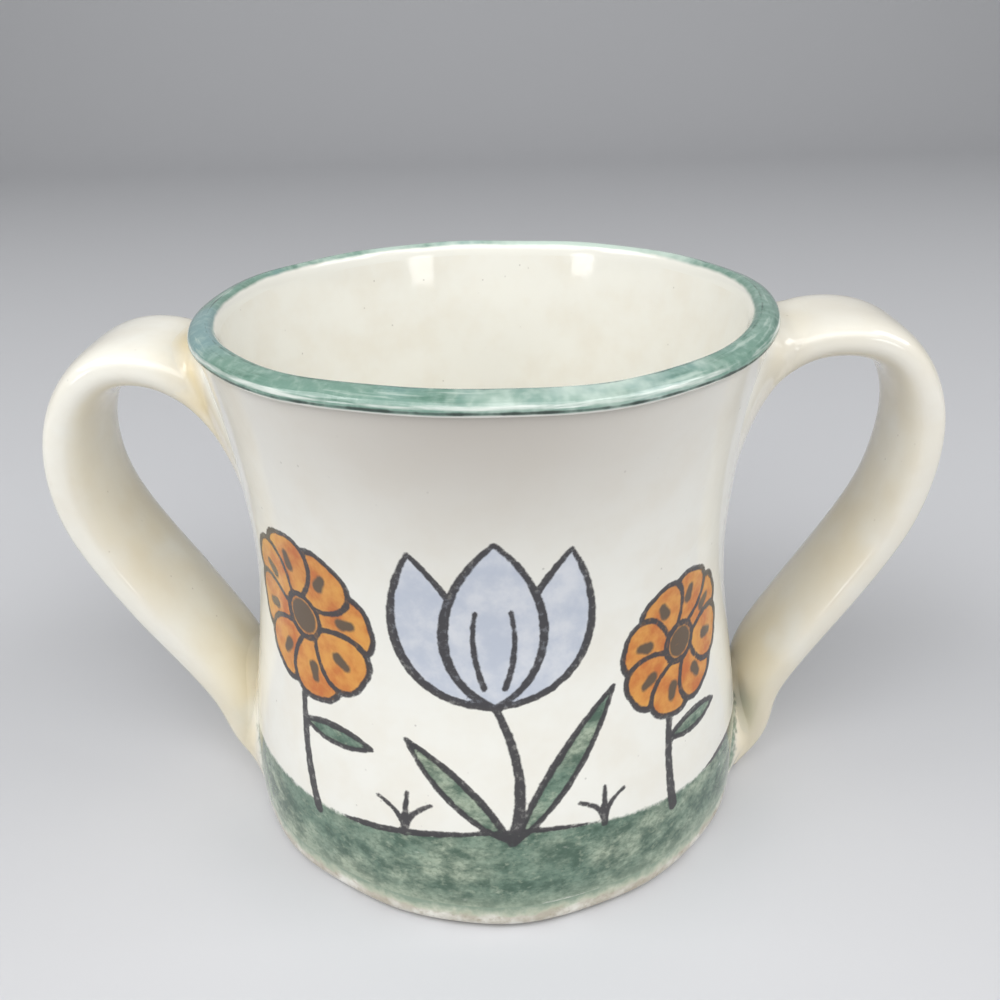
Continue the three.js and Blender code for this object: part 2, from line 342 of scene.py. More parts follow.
@dataclass(frozen=True)
class PaintedGlaze(Glaze):
    """The same glaze over brushed underglaze paint.

    The eye sees matt washes and charcoal brush lines lying under clear glass, with ragged edges,
    brush grain and thin places where the ivory body shows through. A buff grey is laid in as painted
    shade under the lip, where it also stands for lean glaze, and over the right strap.
    """

    name: str = "cream glaze over underglaze painting"
    ragged_mm: float = 1.3
    ragged_reach_mm: float = 0.55
    edge_mm: float = 0.16
    spot_edge_mm: float = 0.32
    ground_reach_mm: float = 1.6
    ground_edge_mm: float = 0.45
    grain_mm: float = 2.2
    wash_mm: float = 5.0
    dry_mm: float = 1.0
    ink_least: float = 0.8
    ground_thin_mm: float = 1.0
    ground_dense_mm: float = 10.0

    def cover(self, tree: Tree, place: Socket, paint: Paint) -> Socket:
        """Turns a paint's distance attribute into a brushed mask.

        Args:
            tree: The material's node tree.
            place: The Object coordinates.
            paint: The underglaze layer.

        Returns:
            The mask's socket, 1 where the paint lies.
        """
        reach = self.ground_reach_mm if paint is Paint.GROUND else self.ragged_reach_mm
        soft = {Paint.GROUND: self.ground_edge_mm, Paint.SPOT: self.spot_edge_mm}.get(paint, self.edge_mm)
        distance = add_node(tree, "Attribute", {"attribute_name": paint.value}).outputs["Fac"]
        ragged = patches(tree, place, self.ragged_mm)
        shift = add_node(tree, "Math", {"operation": "MULTIPLY_ADD", 1: reach, 2: -reach / 2}, {0: ragged})
        wander = add_node(tree, "Math", {"operation": "ADD"}, {0: distance, 1: shift.outputs[0]})
        return add_node(tree, "MapRange", smooth_rise(soft, -soft), {0: wander.outputs[0]}).outputs[0]

    def ground_colour(self, tree: Tree, place: Socket) -> Socket:
        """Builds the streaky green of the painted ground.

        Args:
            tree: The material's node tree.
            place: The Object coordinates.

        Returns:
            The colour's socket.
        """
        height = add_node(tree, "SeparateXYZ", None, {0: place}).outputs[2]
        thickening = smooth_rise(self.ground_thin_mm * MM, self.ground_dense_mm * MM)
        dense = add_node(tree, "MapRange", thickening, {0: height}).outputs[0]
        colour = Colour.GROUND_WASH
        for size_mm, rise, paint in ((13.0, smooth_rise(0.26, 0.6, 0.95), Colour.GROUND_GREEN),
                                     (3.4, smooth_rise(0.36, 0.66, 0.88), Colour.GROUND_DEEP),
                                     (0.7, smooth_rise(0.4, 0.75, 0.6), Colour.GROUND_DEEP),
                                     (1.2, smooth_rise(0.52, 0.8, 0.5), Colour.GROUND_WASH)):
            dabs = dapple(tree, place, size_mm, rise, 6.0, (0.8, 0.8, 1.2))
            colour = lay(tree, colour, paint, dabs, dense)
        return colour

    def build(self) -> bpy.types.Material:
        """Returns the painted glaze, its layers laid in the order that a painter lays them."""
        material, tree, place = self.start()
        colour = self.pooled(tree, place, self.body_colour(tree, place))
        # The lean attribute lays a buff grey as painted shade: under the wall's lip, where it also stands
        # for lean glaze, and over the right strap.
        lean = add_node(tree, "Attribute", {"attribute_name": "lean"}).outputs["Fac"]
        colour = lay(tree, colour, Colour.LEAN_AND_SHADE, lean)
        masks = {paint: self.cover(tree, place, paint) for paint in Paint}
        full = dapple(tree, place, self.grain_mm, smooth_rise(0.05, 0.36), 5.0, (0.6, 0.6, 1.6))
        thin = dapple(tree, place, self.wash_mm, smooth_rise(0.3, 0.68), 4.0)
        green = self.ground_colour(tree, place)
        colour = lay(tree, colour, green, masks[Paint.GROUND], full)
        colour = lay(tree, colour, green, masks[Paint.LEAF], full)
        cool = lay(tree, Colour.BLUE_WASH, Colour.BLUE, thin)
        colour = lay(tree, colour, cool, masks[Paint.BLUE])
        warm = lay(tree, Colour.ORANGE_DEEP, Colour.ORANGE, thin)
        colour = lay(tree, colour, warm, masks[Paint.ORANGE])
        colour = lay(tree, colour, Colour.BROWN, masks[Paint.SPOT], full)
        dry = dapple(tree, place, self.dry_mm, smooth_rise(0.28, 0.5, 0.18), 6.0)
        inked = add_node(tree, "Math", {"operation": "ADD", 1: self.ink_least}, {0: dry})
        colour = lay(tree, colour, Colour.CHARCOAL, masks[Paint.LINE], inked.outputs[0])
        self.close(tree, colour, self.skin(tree, place))
        return material


@dataclass(frozen=True)
class LipGlaze(Glaze):
    """Clear glaze over a green underglaze band, brushed round the lip.

    The eye sees streaks that follow the brush round the rim, thin pale places and a painted highlight on
    the shoulder, and a darker line where the paint gathered along the lower edge.
    """

    name: str = "clear glaze over green brushed lip"
    streak_mm: float = 1.1
    pale_streak_mm: float = 1.87
    streak_run: float = 0.12
    slate_mm: float = 30.0
    fine_mm: float = 1.5
    broken_middle: float = 1.05

    def brushed(self, tree: Tree, place: Socket) -> Socket:
        """Builds coordinates that change slowly round the rim and fast across it, as brush streaks do.

        Args:
            tree: The material's node tree.
            place: The Object coordinates.

        Returns:
            The coordinates' socket.
        """
        parts = add_node(tree, "SeparateXYZ", None, {0: place})
        flat = add_node(tree, "VectorMath", {"operation": "MULTIPLY", 1: (1, 1, 0)}, {0: place}).outputs[0]
        radius = add_node(tree, "VectorMath", {"operation": "LENGTH"}, {0: flat}).outputs["Value"]
        drop = add_node(tree, "Math", {"operation": "SUBTRACT"}, {0: radius, 1: parts.outputs[2]})
        lane = add_node(tree, "CombineXYZ", None, {2: drop.outputs[0]})
        run = add_node(tree, "VectorMath", {"operation": "SCALE", "Scale": self.streak_run}, {0: flat})
        both = {0: run.outputs[0], 1: lane.outputs[0]}
        return add_node(tree, "VectorMath", {"operation": "ADD"}, both).outputs[0]

    def broken(self, tree: Tree, place: Socket, mark: str, size_mm: float, soft: float) -> Socket:
        """Breaks up one of the lip's marks into ragged patches.

        Args:
            tree: The material's node tree.
            place: The coordinates to read.
            mark: The attribute's name.
            size_mm: The size of a patch.
            soft: How slowly a patch fades out, as a share of the mark's strength.

        Returns:
            The broken mark's socket.
        """
        whole = add_node(tree, "Attribute", {"attribute_name": mark}).outputs["Fac"]
        cloud = patches(tree, place, size_mm)
        both = add_node(tree, "Math", {"operation": "ADD"}, {0: whole, 1: cloud})
        rise = smooth_rise(self.broken_middle - soft / 2, self.broken_middle + soft / 2)
        return add_node(tree, "MapRange", rise, {0: both.outputs[0]}).outputs[0]

    def build(self) -> bpy.types.Material:
        """Returns the lip's glaze."""
        material, tree, place = self.start()
        along = self.brushed(tree, place)
        deep = dapple(tree, along, self.streak_mm, smooth_rise(0.5, 0.72, 0.7), 4.0)
        slate = dapple(tree, place, self.slate_mm, smooth_rise(0.5, 0.65, 0.7))
        thin = dapple(tree, along, self.pale_streak_mm, smooth_rise(0.55, 0.7, 0.6), 4.0)
        fine = dapple(tree, place, self.fine_mm, smooth_rise(0.4, 0.8, 0.32), 6.0)
        colour = Colour.LIP_GREEN
        for paint, share in ((Colour.LIP_DEEP, deep), (Colour.LIP_SLATE, slate), (Colour.LIP_PALE, thin),
                             (Colour.LIP_PALE, fine),
                             (Colour.LIP_PALE, self.broken(tree, place, "faded", 6.0, 0.6)),
                             # Worn paint and a painted highlight, broken along the shoulder.
                             (Colour.LIP_WEAR_AND_HIGHLIGHT, self.broken(tree, along, "wear_and_highlight", 1.3, 0.35)),
                             (Colour.CREAM, self.broken(tree, along, "bare", 1.6, 0.5)),
                             (Colour.LIP_EDGE, self.broken(tree, place, "gather", 4.0, 0.5))):
            colour = lay(tree, colour, paint, share)
        self.close(tree, colour, self.skin(tree, place))
        return material


@dataclass(frozen=True)
class FootGlaze(Glaze):
    """The cream glaze on the floor disc, wiped off the clay that stands on the table.

    The eye sees glossy ivory inside the cup. Round the foot the ivory is so thin that buff clay shows
    through, with ragged green stains from the ground paint along the top, and dry buff clay underneath.
    """

    name: str = "cream glaze on a wiped foot"
    clay_roughness: float = 0.75
    thin_mm: float = 5.0
    dirt_mm: float = 1.5
    stain_mm: float = 2.6
    grit_mm: float = 0.9

    def build(self) -> bpy.types.Material:
        """Returns the foot's glaze."""
        material, tree, place = self.start()
        marks = {name: add_node(tree, "Attribute", {"attribute_name": name}).outputs["Fac"]
                 for name in ("stain", "inside", "unglazed")}
        glazed = self.pooled(tree, place, self.body_colour(tree, place))
        thin = dapple(tree, place, self.thin_mm, smooth_rise(0.25, 0.65, 0.85))
        dirt = dapple(tree, place, self.dirt_mm, smooth_rise(0.48, 0.72, 0.65), 5.0)
        ragged = patches(tree, place, self.stain_mm, 4.0)
        stained = add_node(tree, "Math", {"operation": "ADD"}, {0: marks["stain"], 1: ragged}).outputs[0]
        pale = add_node(tree, "MapRange", smooth_rise(0.8, 1.2, 0.8), {0: stained}).outputs[0]
        green = add_node(tree, "MapRange", smooth_rise(1.0, 1.5, 0.75), {0: stained}).outputs[0]
        grit = dapple(tree, place, self.grit_mm, smooth_rise(0.35, 0.7), 4.0)
        clay = lay(tree, Colour.CLAY, Colour.CLAY_GRAIN, grit)
        colour = glazed
        for paint, share in ((Colour.CLAY, thin), (Colour.CLAY_GRAIN, dirt), (Colour.GROUND_WASH, pale),
                             (Colour.GROUND_GREEN, green), (glazed, marks["inside"]),
                             (clay, marks["unglazed"])):
            colour = lay(tree, colour, paint, share)
        surface = self.close(tree, colour, self.skin(tree, place))
        spread = {1: 0.0, 2: 1.0, 3: self.roughness, 4: self.clay_roughness}
        rough = add_node(tree, "MapRange", spread, {0: marks["unglazed"]})
        tree.links.new(rough.outputs[0], surface.inputs["Roughness"])
        return material


@dataclass(frozen=True)
class StudioFloor:
    """Matt pale paper, swept up behind the mug."""

    name: str = "matt pale paper"
    roughness: float = 0.85

    def build(self) -> bpy.types.Material:
        """Returns the paper's material."""
        material = bpy.data.materials.new(self.name)
        material.use_nodes = True
        surface = material.node_tree.nodes["Principled BSDF"]
        surface.inputs["Base Color"].default_value = Colour.FLOOR.linear()
        surface.inputs["Roughness"].default_value = self.roughness
        return material


def make_piece(name: str, maker: bmesh.types.BMesh, material: bpy.types.Material) -> bpy.types.Object:
    """Turns a finished bmesh into a smooth-shaded object at the origin.

    Args:
        name: The piece's name.
        maker: The bmesh, which is freed.
        material: The piece's finish.

    Returns:
        The new object, linked to the scene.
    """
    mesh = bpy.data.meshes.new(name)
    maker.to_mesh(mesh)
    maker.free()
    mesh.shade_smooth()
    mesh.set_sharp_from_angle(angle=CREASE)
    mesh.materials.append(material)
    piece = bpy.data.objects.new(name, mesh)
    bpy.context.scene.collection.objects.link(piece)
    return piece


def mount_piece(piece: bpy.types.Object, slot: Slot, *nodes: str) -> None:
    """Rides a piece on the mug's one body and hides the solids that it stands for.

    Args:
        piece: The finished piece.
        slot: The record's material slot; not used.
        nodes: The CAD nodes that the piece replaces.
    """
    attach(piece, "root")
    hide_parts(*nodes)
    log.info("piece %s: %d vertices", piece.name, len(piece.data.vertices))


def set_attribute(piece: bpy.types.Object, name: str, values: np.ndarray) -> None:
    """Stores one number per vertex on a piece.

    Args:
        piece: The piece.
        name: The attribute's name.
        values: One number per vertex.
    """
    attribute = piece.data.attributes.new(name, "FLOAT", "POINT")
    attribute.data.foreach_set("value", np.asarray(values, np.float32))


def vertex_places(piece: bpy.types.Object) -> np.ndarray:
    """Returns a piece's vertices as rows of x, y and z."""
    places = np.zeros(len(piece.data.vertices) * 3, np.float32)
    piece.data.vertices.foreach_get("co", places)
    return places.reshape(-1, 3).astype(float)


def arc(centre: tuple[float, float], radius: float, start: float, end: float, steps: int) -> list[Vector]:
    """Samples an arc of a turned outline.

    Args:
        centre: Radius and height of the arc's centre.
        radius: The arc's radius.
        start: Its first angle.
        end: Its last angle.
        steps: How many spans it has.

    Returns:
        Points in the XZ plane.
    """
    angles = np.linspace(start, end, steps + 1)
    return [Vector((centre[0] + radius * math.cos(a), 0, centre[1] + radius * math.sin(a))) for a in angles]


def bezier(points: list[tuple[float, float]], steps: int = 14) -> np.ndarray:
    """Samples a Bezier curve by repeated halving between its control points.

    Args:
        points: The control points, as pairs.
        steps: How many spans the curve is cut into.

    Returns:
        Rows of pairs.
    """
    share = np.linspace(0, 1, steps + 1)[:, None]
    level = [np.array(point, float)[None, :] for point in points]
    while len(level) > 1:
        level = [a * (1 - share) + b * share for a, b in zip(level, level[1:])]
    return level[0]


def bowed(points: list[tuple[float, float]], steps: int) -> list[Vector]:
    """Samples a Bezier curve of a turned outline.

    Args:
        points: Radius and height of its control points.
        steps: How many spans it has.

    Returns:
        Points in the XZ plane.
    """
    return [Vector((radius, 0, z)) for radius, z in bezier(points, steps)]


@dataclass(frozen=True)
class Wave:
    """One of the ripples that run round the cup, which may twist with height."""

    strength: float
    count: int
    phase: float
    twist: float = 0.0


def ripple(waves: tuple[Wave, ...], angle: float | np.ndarray, lift: float = 0.0) -> float | np.ndarray:
    """Adds up ripples round the cup.

    Args:
        waves: The ripples.
        angle: Where they are read, about the cup's axis.
        lift: How high they are read, as a share of the cup's height.

    Returns:
        The sum, one for each angle.
    """
    return sum(wave.strength * np.sin(wave.count * angle + wave.phase + wave.twist * lift) for wave in waves)


@dataclass
class CupForm:
    """The cup's turned form, with the unevenness of hand building."""

    rim_radius: float
    height: float
    seat: float
    floor: float
    foot_radius: float
    waist_inset: float = 5.3 * MM
    waist_height: float = 53 * MM
    flare_power: float = 1.7
    wall_thickness: float = 4 * MM
    lip_overhang: float = 0.8 * MM
    rim_tilt: float = 0.02
    sway: float = 0.22 * MM
    sway_waves: tuple[Wave, ...] = (Wave(1.0, 2, 0.7), Wave(0.7, 3, -1.1, 2), Wave(0.5, 5, 2.3, 4))
    foot_waves: tuple[Wave, ...] = (Wave(0.8, 7, 0.3), Wave(0.6, 13, 1.7))
    rim_waves: tuple[Wave, ...] = (Wave(0.5, 3, 0.4), Wave(0.35, 7, 1.0), Wave(0.3, 12, 0.0))
    sag: float = 0.8 * MM
    sag_angle: float = -0.95
    foot_fade: float = 14 * MM
    merge_limit: float = 1e-6

    @classmethod
    def from_frame(cls) -> "CupForm":
        """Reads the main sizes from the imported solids' boxes."""
        lip_low, lip_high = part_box("lip_coil")
        slab_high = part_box("floor_slab")[1]
        return cls(lip_high.x, lip_high.z, lip_low.z, slab_high.z, slab_high.x)

    def outer(self, z: float) -> float:
        """Returns the wall's outer radius at a height: a smooth step to the waist, then a flare."""
        waist = self.rim_radius - self.waist_inset
        if z <= self.waist_height:
            return waist + (self.foot_radius - waist) * smooth_step(self.waist_height, self.floor, z)
        t = min(1.0, (z - self.waist_height) / (self.seat - self.waist_height))
        return waist + (self.rim_radius - self.lip_overhang - waist) * t ** self.flare_power

    def settle(self, place: Vector) -> Vector:
        """Moves a point of the true form to where the hand-built form has it.

        Args:
            place: A point of the true form.

        Returns:
            The point, swayed in and out and tilted with the rim.
        """
        angle = math.atan2(place.y, place.x)
        radius = math.hypot(place.x, place.y)
        foot_share = 1 - smooth_step(0, self.foot_fade, place.z)
        wave = ripple(self.sway_waves, angle, place.z / self.height)
        wave += foot_share * ripple(self.foot_waves, angle)
        grown = radius + self.sway * wave * radius / self.rim_radius
        rim_share = smooth_step(self.waist_height, self.height, place.z)
        low = self.sag * (1 - smooth_step(0, 1, abs(angle - self.sag_angle)))
        rise = rim_share * (self.sway * ripple(self.rim_waves, angle) - self.rim_tilt * place.y - low)
        return Vector((grown * math.cos(angle), grown * math.sin(angle), place.z + rise))

    def on_wall(self, angle: float, z: float, offset: float) -> Vector:
        """Returns a point of the settled wall's outer skin, moved out by an offset."""
        radius = self.outer(z) + offset
        return self.settle(Vector((radius * math.cos(angle), radius * math.sin(angle), z)))

    def off_wall(self, places: np.ndarray) -> np.ndarray:
        """Returns how far each place lies outside the wall's outer skin."""
        return np.hypot(places[:, 0], places[:, 1]) - np.array([self.outer(z) for z in places[:, 2]])

    def turned(self, outline: list[Vector], steps: int, closed: bool, marks: dict[str, list[float]],
               crowd: float = 0.0) -> bmesh.types.BMesh:
        """Spins an outline round the cup's axis and settles it.

        Args:
            outline: Points in the XZ plane.
            steps: How many spans the turn has.
            closed: Whether the outline joins up, or else starts and ends on the axis.
            marks: Attributes of the finished mesh, with one number per outline point.
            crowd: How far the steps draw together at the front and the back.

        Returns:
            A closed bmesh whose faces point out.
        """
        maker = bmesh.new()
        layers = {name: maker.verts.layers.float.new(name) for name in marks}
        verts = [maker.verts.new(point) for point in outline]
        for name, values in marks.items():
            for vert, value in zip(verts, values):
                vert[layers[name]] = value
        pairs = list(zip(verts, verts[1:]))
        if closed:
            pairs.append((verts[-1], verts[0]))
        edges = [maker.edges.new(pair) for pair in pairs]
        bmesh.ops.spin(maker, geom=verts + edges, cent=(0, 0, 0), axis=(0, 0, 1), angle=FULL_TURN,
                       steps=steps, use_merge=True)
        bmesh.ops.remove_doubles(maker, verts=maker.verts, dist=self.merge_limit)
        for vert in maker.verts:
            drawn = Matrix.Rotation(crowd * math.sin(2 * math.atan2(vert.co.y, vert.co.x)), 3, "Z")
            vert.co = self.settle(drawn @ vert.co)
        bmesh.ops.recalc_face_normals(maker, faces=maker.faces)
        return maker


def segment_gap(x: np.ndarray, y: np.ndarray, a: np.ndarray, b: np.ndarray) -> tuple[np.ndarray, np.ndarray]:
    """Finds how far places are from a straight stretch of a line.

    Args:
        x: The places across.
        y: The places up.
        a: The stretch's first end.
        b: Its last end.

    Returns:
        The distances, and how far along the stretch each place is, from 0 to 1.
    """
    step = b - a
    t = np.clip(((x - a[0]) * step[0] + (y - a[1]) * step[1]) / max(step @ step, 1e-9), 0, 1)
    return np.hypot(x - a[0] - t * step[0], y - a[1] - t * step[1]), t


@dataclass
class PaintedSide:
    """One side of the wall, flattened, with its painted shapes as distances in millimetres.

    A field holds how far each vertex is from a paint's edge, negative inside the paint.
    """

    across: np.ndarray
    up: np.ndarray
    far: float = 4.0
    fields: dict[Paint, np.ndarray] = field(default_factory=dict)

    def __post_init__(self) -> None:
        """Starts every paint far from every vertex."""
        for paint in Paint:
            self.fields[paint] = np.full(self.across.shape, self.far)

    def near(self, points: np.ndarray) -> np.ndarray:
        """Returns the vertices that lie within reach of some points."""
        low = points.min(0) - self.far
        high = points.max(0) + self.far
        inside = (self.across > low[0]) & (self.across < high[0])
        return np.nonzero(inside & (self.up > low[1]) & (self.up < high[1]))[0]

    def stroke(self, points: np.ndarray, brush: Brush, paint: Paint = Paint.LINE) -> None:
        """Draws a brush line that swells and thins.

        Args:
            points: The line's points.
            brush: Its widths.
            paint: The underglaze layer.
        """
        chosen = self.near(points)
        x, y = self.across[chosen], self.up[chosen]
        half = np.interp(np.linspace(0, 1, len(points)), (0, 0.5, 1), brush) / 2
        best = np.full(x.shape, self.far)
        for a, b, wide_a, wide_b in zip(points, points[1:], half, half[1:]):
            gap, t = segment_gap(x, y, a, b)
            best = np.minimum(best, gap - wide_a - t * (wide_b - wide_a))
        self.fields[paint][chosen] = np.minimum(self.fields[paint][chosen], best)

    def fill(self, outline: np.ndarray, paint: Paint) -> None:
        """Fills a closed outline and wipes the lines that it covers.

        Args:
            outline: The shape's corners, in order.
            paint: The underglaze layer.
        """
        chosen = self.near(outline)
        x, y = self.across[chosen], self.up[chosen]
        gap = np.full(x.shape, self.far)
        inside = np.zeros(x.shape, bool)
        for a, b in zip(outline, np.roll(outline, -1, axis=0)):
            gap = np.minimum(gap, segment_gap(x, y, a, b)[0])
            if a[1] != b[1]:
                crossing = a[0] + (y - a[1]) * (b[0] - a[0]) / (b[1] - a[1])
                inside ^= ((a[1] > y) != (b[1] > y)) & (x < crossing)
        signed = np.where(inside, -gap, gap)
        for other in (Paint.LINE, Paint.SPOT):
            self.fields[other][chosen] = np.maximum(self.fields[other][chosen], -signed)
        self.fields[paint][chosen] = np.minimum(self.fields[paint][chosen], signed)

    def petal(self, first: np.ndarray, second: np.ndarray, paint: Paint,
              brushes: tuple[Brush, Brush]) -> None:
        """Fills the shape between two edges that run from one base to one tip, and draws the edges.

        Args:
            first: The first edge's points.
            second: The second edge's points.
            paint: The underglaze layer.
            brushes: The edges' widths.
        """
        self.fill(np.vstack([first, second[-2:0:-1]]), paint)
        for edge, brush in zip((first, second), brushes):
            self.stroke(edge, brush)


@dataclass
class Leaf:
    """A painted leaf between two bowed brush lines."""

    base: tuple[float, float]
    tip: tuple[float, float]
    belly: float
    lower_share: float = 0.8
    brushes: tuple[Brush, Brush] = ((1.0, 1.3, 0.8), (0.9, 1.0, 0.8))

    def paint(self, side: PaintedSide) -> None:
        """Paints the leaf on a side of the wall."""
        base, tip = np.array(self.base), np.array(self.tip)
        run = tip - base
        out = np.array((-run[1], run[0])) / np.linalg.norm(run) * self.belly
        upper, lower = [bezier([base, base + run * 0.3 + bow, base + run * 0.7 + bow, tip])
                        for bow in (out, -out * self.lower_share)]
        side.petal(upper, lower, Paint.LEAF, self.brushes)


@dataclass
class Tulip:
    """A painted tulip: two side petals, a ribbed middle petal, a stem and two leaves."""

    foot: tuple[float, float]
    head: tuple[float, float]
    width: float
    height: float
    stem_brush: Brush = (2.0, 1.5, 1.2)
    petal_brushes: tuple[Brush, Brush] = ((1.2, 1.7, 0.8), (1.1, 1.4, 0.8))
    rib_brush: Brush = (1.0, 0.9, 0.7)

    def curve(self, points: tuple[tuple[float, float], ...]) -> np.ndarray:
        """Returns a curve of the head, from control points given as shares of its size."""
        size = np.array((self.width, self.height))
        return bezier([np.array(self.head) + np.array(point) * size for point in points])

    def paint(self, side: PaintedSide) -> None:
        """Paints the tulip on a side of the wall."""
        foot, head = np.array(self.foot), np.array(self.head)
        bend = (foot + head) / 2 + np.array((self.width * 0.16, 0))
        side.stroke(bezier([foot, bend, head]), self.stem_brush)
        for aside, tip, belly in ((0.6, (0.62, 0.86), 2.9), (-0.6, (-0.58, 0.62), -2.7)):
            reach = np.array(tip) * (self.width, self.height)
            Leaf(tuple(foot + (aside, 0)), tuple(foot + reach), belly).paint(side)
        left = (((0, 0), (-0.62, 0.05), (-0.66, 0.55), (-0.42, 0.95)),
                ((0, 0), (-0.05, 0.4), (-0.2, 0.7), (-0.42, 0.95)))
        right = (((0, 0), (0.05, 0.4), (0.2, 0.7), (0.42, 0.95)),
                 ((0, 0), (0.62, 0.05), (0.66, 0.55), (0.42, 0.95)))
        middle = (((0, 0), (-0.42, 0.2), (-0.3, 0.75), (0.02, 1.02)),
                  ((0, 0), (0.42, 0.2), (0.32, 0.75), (0.02, 1.02)))
        for edges in (left, right, middle):
            first, second = [self.curve(edge) for edge in edges]
            side.petal(first, second, Paint.BLUE, self.petal_brushes)
        for lean in (-0.09, 0.1):
            rib = self.curve(((lean * 0.6, 0.12), (lean * 1.5, 0.35), (lean, 0.6)))
            side.stroke(rib, self.rib_brush)


@dataclass
class Daisy:
    """A painted daisy: spotted petals round a heart with a brown middle, on a stem with a leaf."""

    foot: tuple[float, float]
    heart: tuple[float, float]
    radius: float
    petals: int = 8
    turn: float = 0.2
    heart_share: float = 0.27
    brown_share: float = 0.42
    heart_steps: int = 18
    stem_brush: Brush = (1.8, 1.4, 1.2)
    petal_brushes: tuple[Brush, Brush] = ((0.9, 1.3, 1.0), (0.9, 1.1, 1.0))
    spot_brush: Brush = (2.2, 2.6, 1.6)
    heart_brush: Brush = (1.0, 1.3, 1.0)

    def paint(self, side: PaintedSide) -> None:
        """Paints the daisy on a side of the wall."""
        foot, heart = np.array(self.foot), np.array(self.heart)
        bend = (foot + heart) / 2 - np.array((self.radius * 0.3, 0))
        side.stroke(bezier([foot, bend, heart]), self.stem_brush)
        Leaf(tuple(foot * 0.55 + heart * 0.45 - (self.radius * 0.14, 0)),
             tuple(foot * 0.4 + heart * 0.6 + (self.radius * 0.85, -self.radius * 0.35)), 2.3).paint(side)
        for number in range(self.petals):
            angle = self.turn + number * FULL_TURN / self.petals
            out = np.array((math.cos(angle), math.sin(angle))) * self.radius
            wide = np.array((-out[1], out[0])) * math.sin(math.pi / self.petals) * 1.5
            first, second = [bezier([heart + out * 0.2, heart + out * 0.55 + bow,
                                     heart + out * 1.05 + bow * 0.75, heart + out]) for bow in (wide, -wide)]
            side.petal(first, second, Paint.ORANGE, self.petal_brushes)
            spot = np.array((heart + out * 0.61, heart + out * 0.75))
            side.stroke(spot, self.spot_brush, Paint.SPOT)
        ring = np.linspace(0, FULL_TURN, self.heart_steps + 1)
        disc = heart + np.stack([np.cos(ring), np.sin(ring)], -1) * self.radius * self.heart_share
        side.fill(disc[:-1], Paint.ORANGE)
        brown = self.radius * self.brown_share
        side.stroke(np.array((heart, heart + (0.1, 0.1))), (brown, brown, brown), Paint.SPOT)
        side.stroke(disc, self.heart_brush)


@dataclass
class Tuft:
    """Three painted blades of grass."""

    foot: tuple[float, float]
    height: float
    brush: Brush = (1.2, 0.9, 0.7)

    def paint(self, side: PaintedSide) -> None:
        """Paints the blades on a side of the wall."""
        foot = np.array(self.foot)
        for lean in (-0.55, 0.05, 0.5):
            tip = foot + np.array((lean, 1 - abs(lean) * 0.5)) * self.height
            side.stroke(bezier([foot, foot + (lean * 0.2, self.height * 0.5), tip]), self.brush)


@dataclass(frozen=True)
class Ground:
    """The painted ground round the foot: a green band with a wavy top and a broken dark line along it."""

    top_mm: float = 18.0
    top_waves: tuple[Wave, ...] = (Wave(-2.0, 2, math.pi / 2), Wave(0.8, 5, 2.6))
    low_mm: float = 4.6
    low_waves: tuple[Wave, ...] = (Wave(0.5, 4, 0.0), Wave(0.4, 9, 1.0))
    line_mm: float = 0.6
    line_waves: tuple[Wave, ...] = (Wave(1.0, 4, 2.2), Wave(0.55, 9, 0.5))
    line_more: float = 0.25

    def top(self, angle: np.ndarray) -> np.ndarray:
        """Returns the height of the band's top, in millimetres, at angles about the axis."""
        return self.top_mm + ripple(self.top_waves, angle)

    def line(self, angle: np.ndarray) -> np.ndarray:
        """Returns half the width of the dark line, in millimetres and negative where it breaks off."""
        return self.line_mm * np.clip(ripple(self.line_waves, angle) + self.line_more, -1, 1)

    def edge(self, places: np.ndarray) -> np.ndarray:
        """Returns how far places are from the band's edge, in millimetres and negative inside it."""
        angle = np.arctan2(places[:, 1], places[:, 0])
        up = places[:, 2] / MM
        low = self.low_mm + ripple(self.low_waves, angle)
        return np.maximum(up - self.top(angle), low - up)


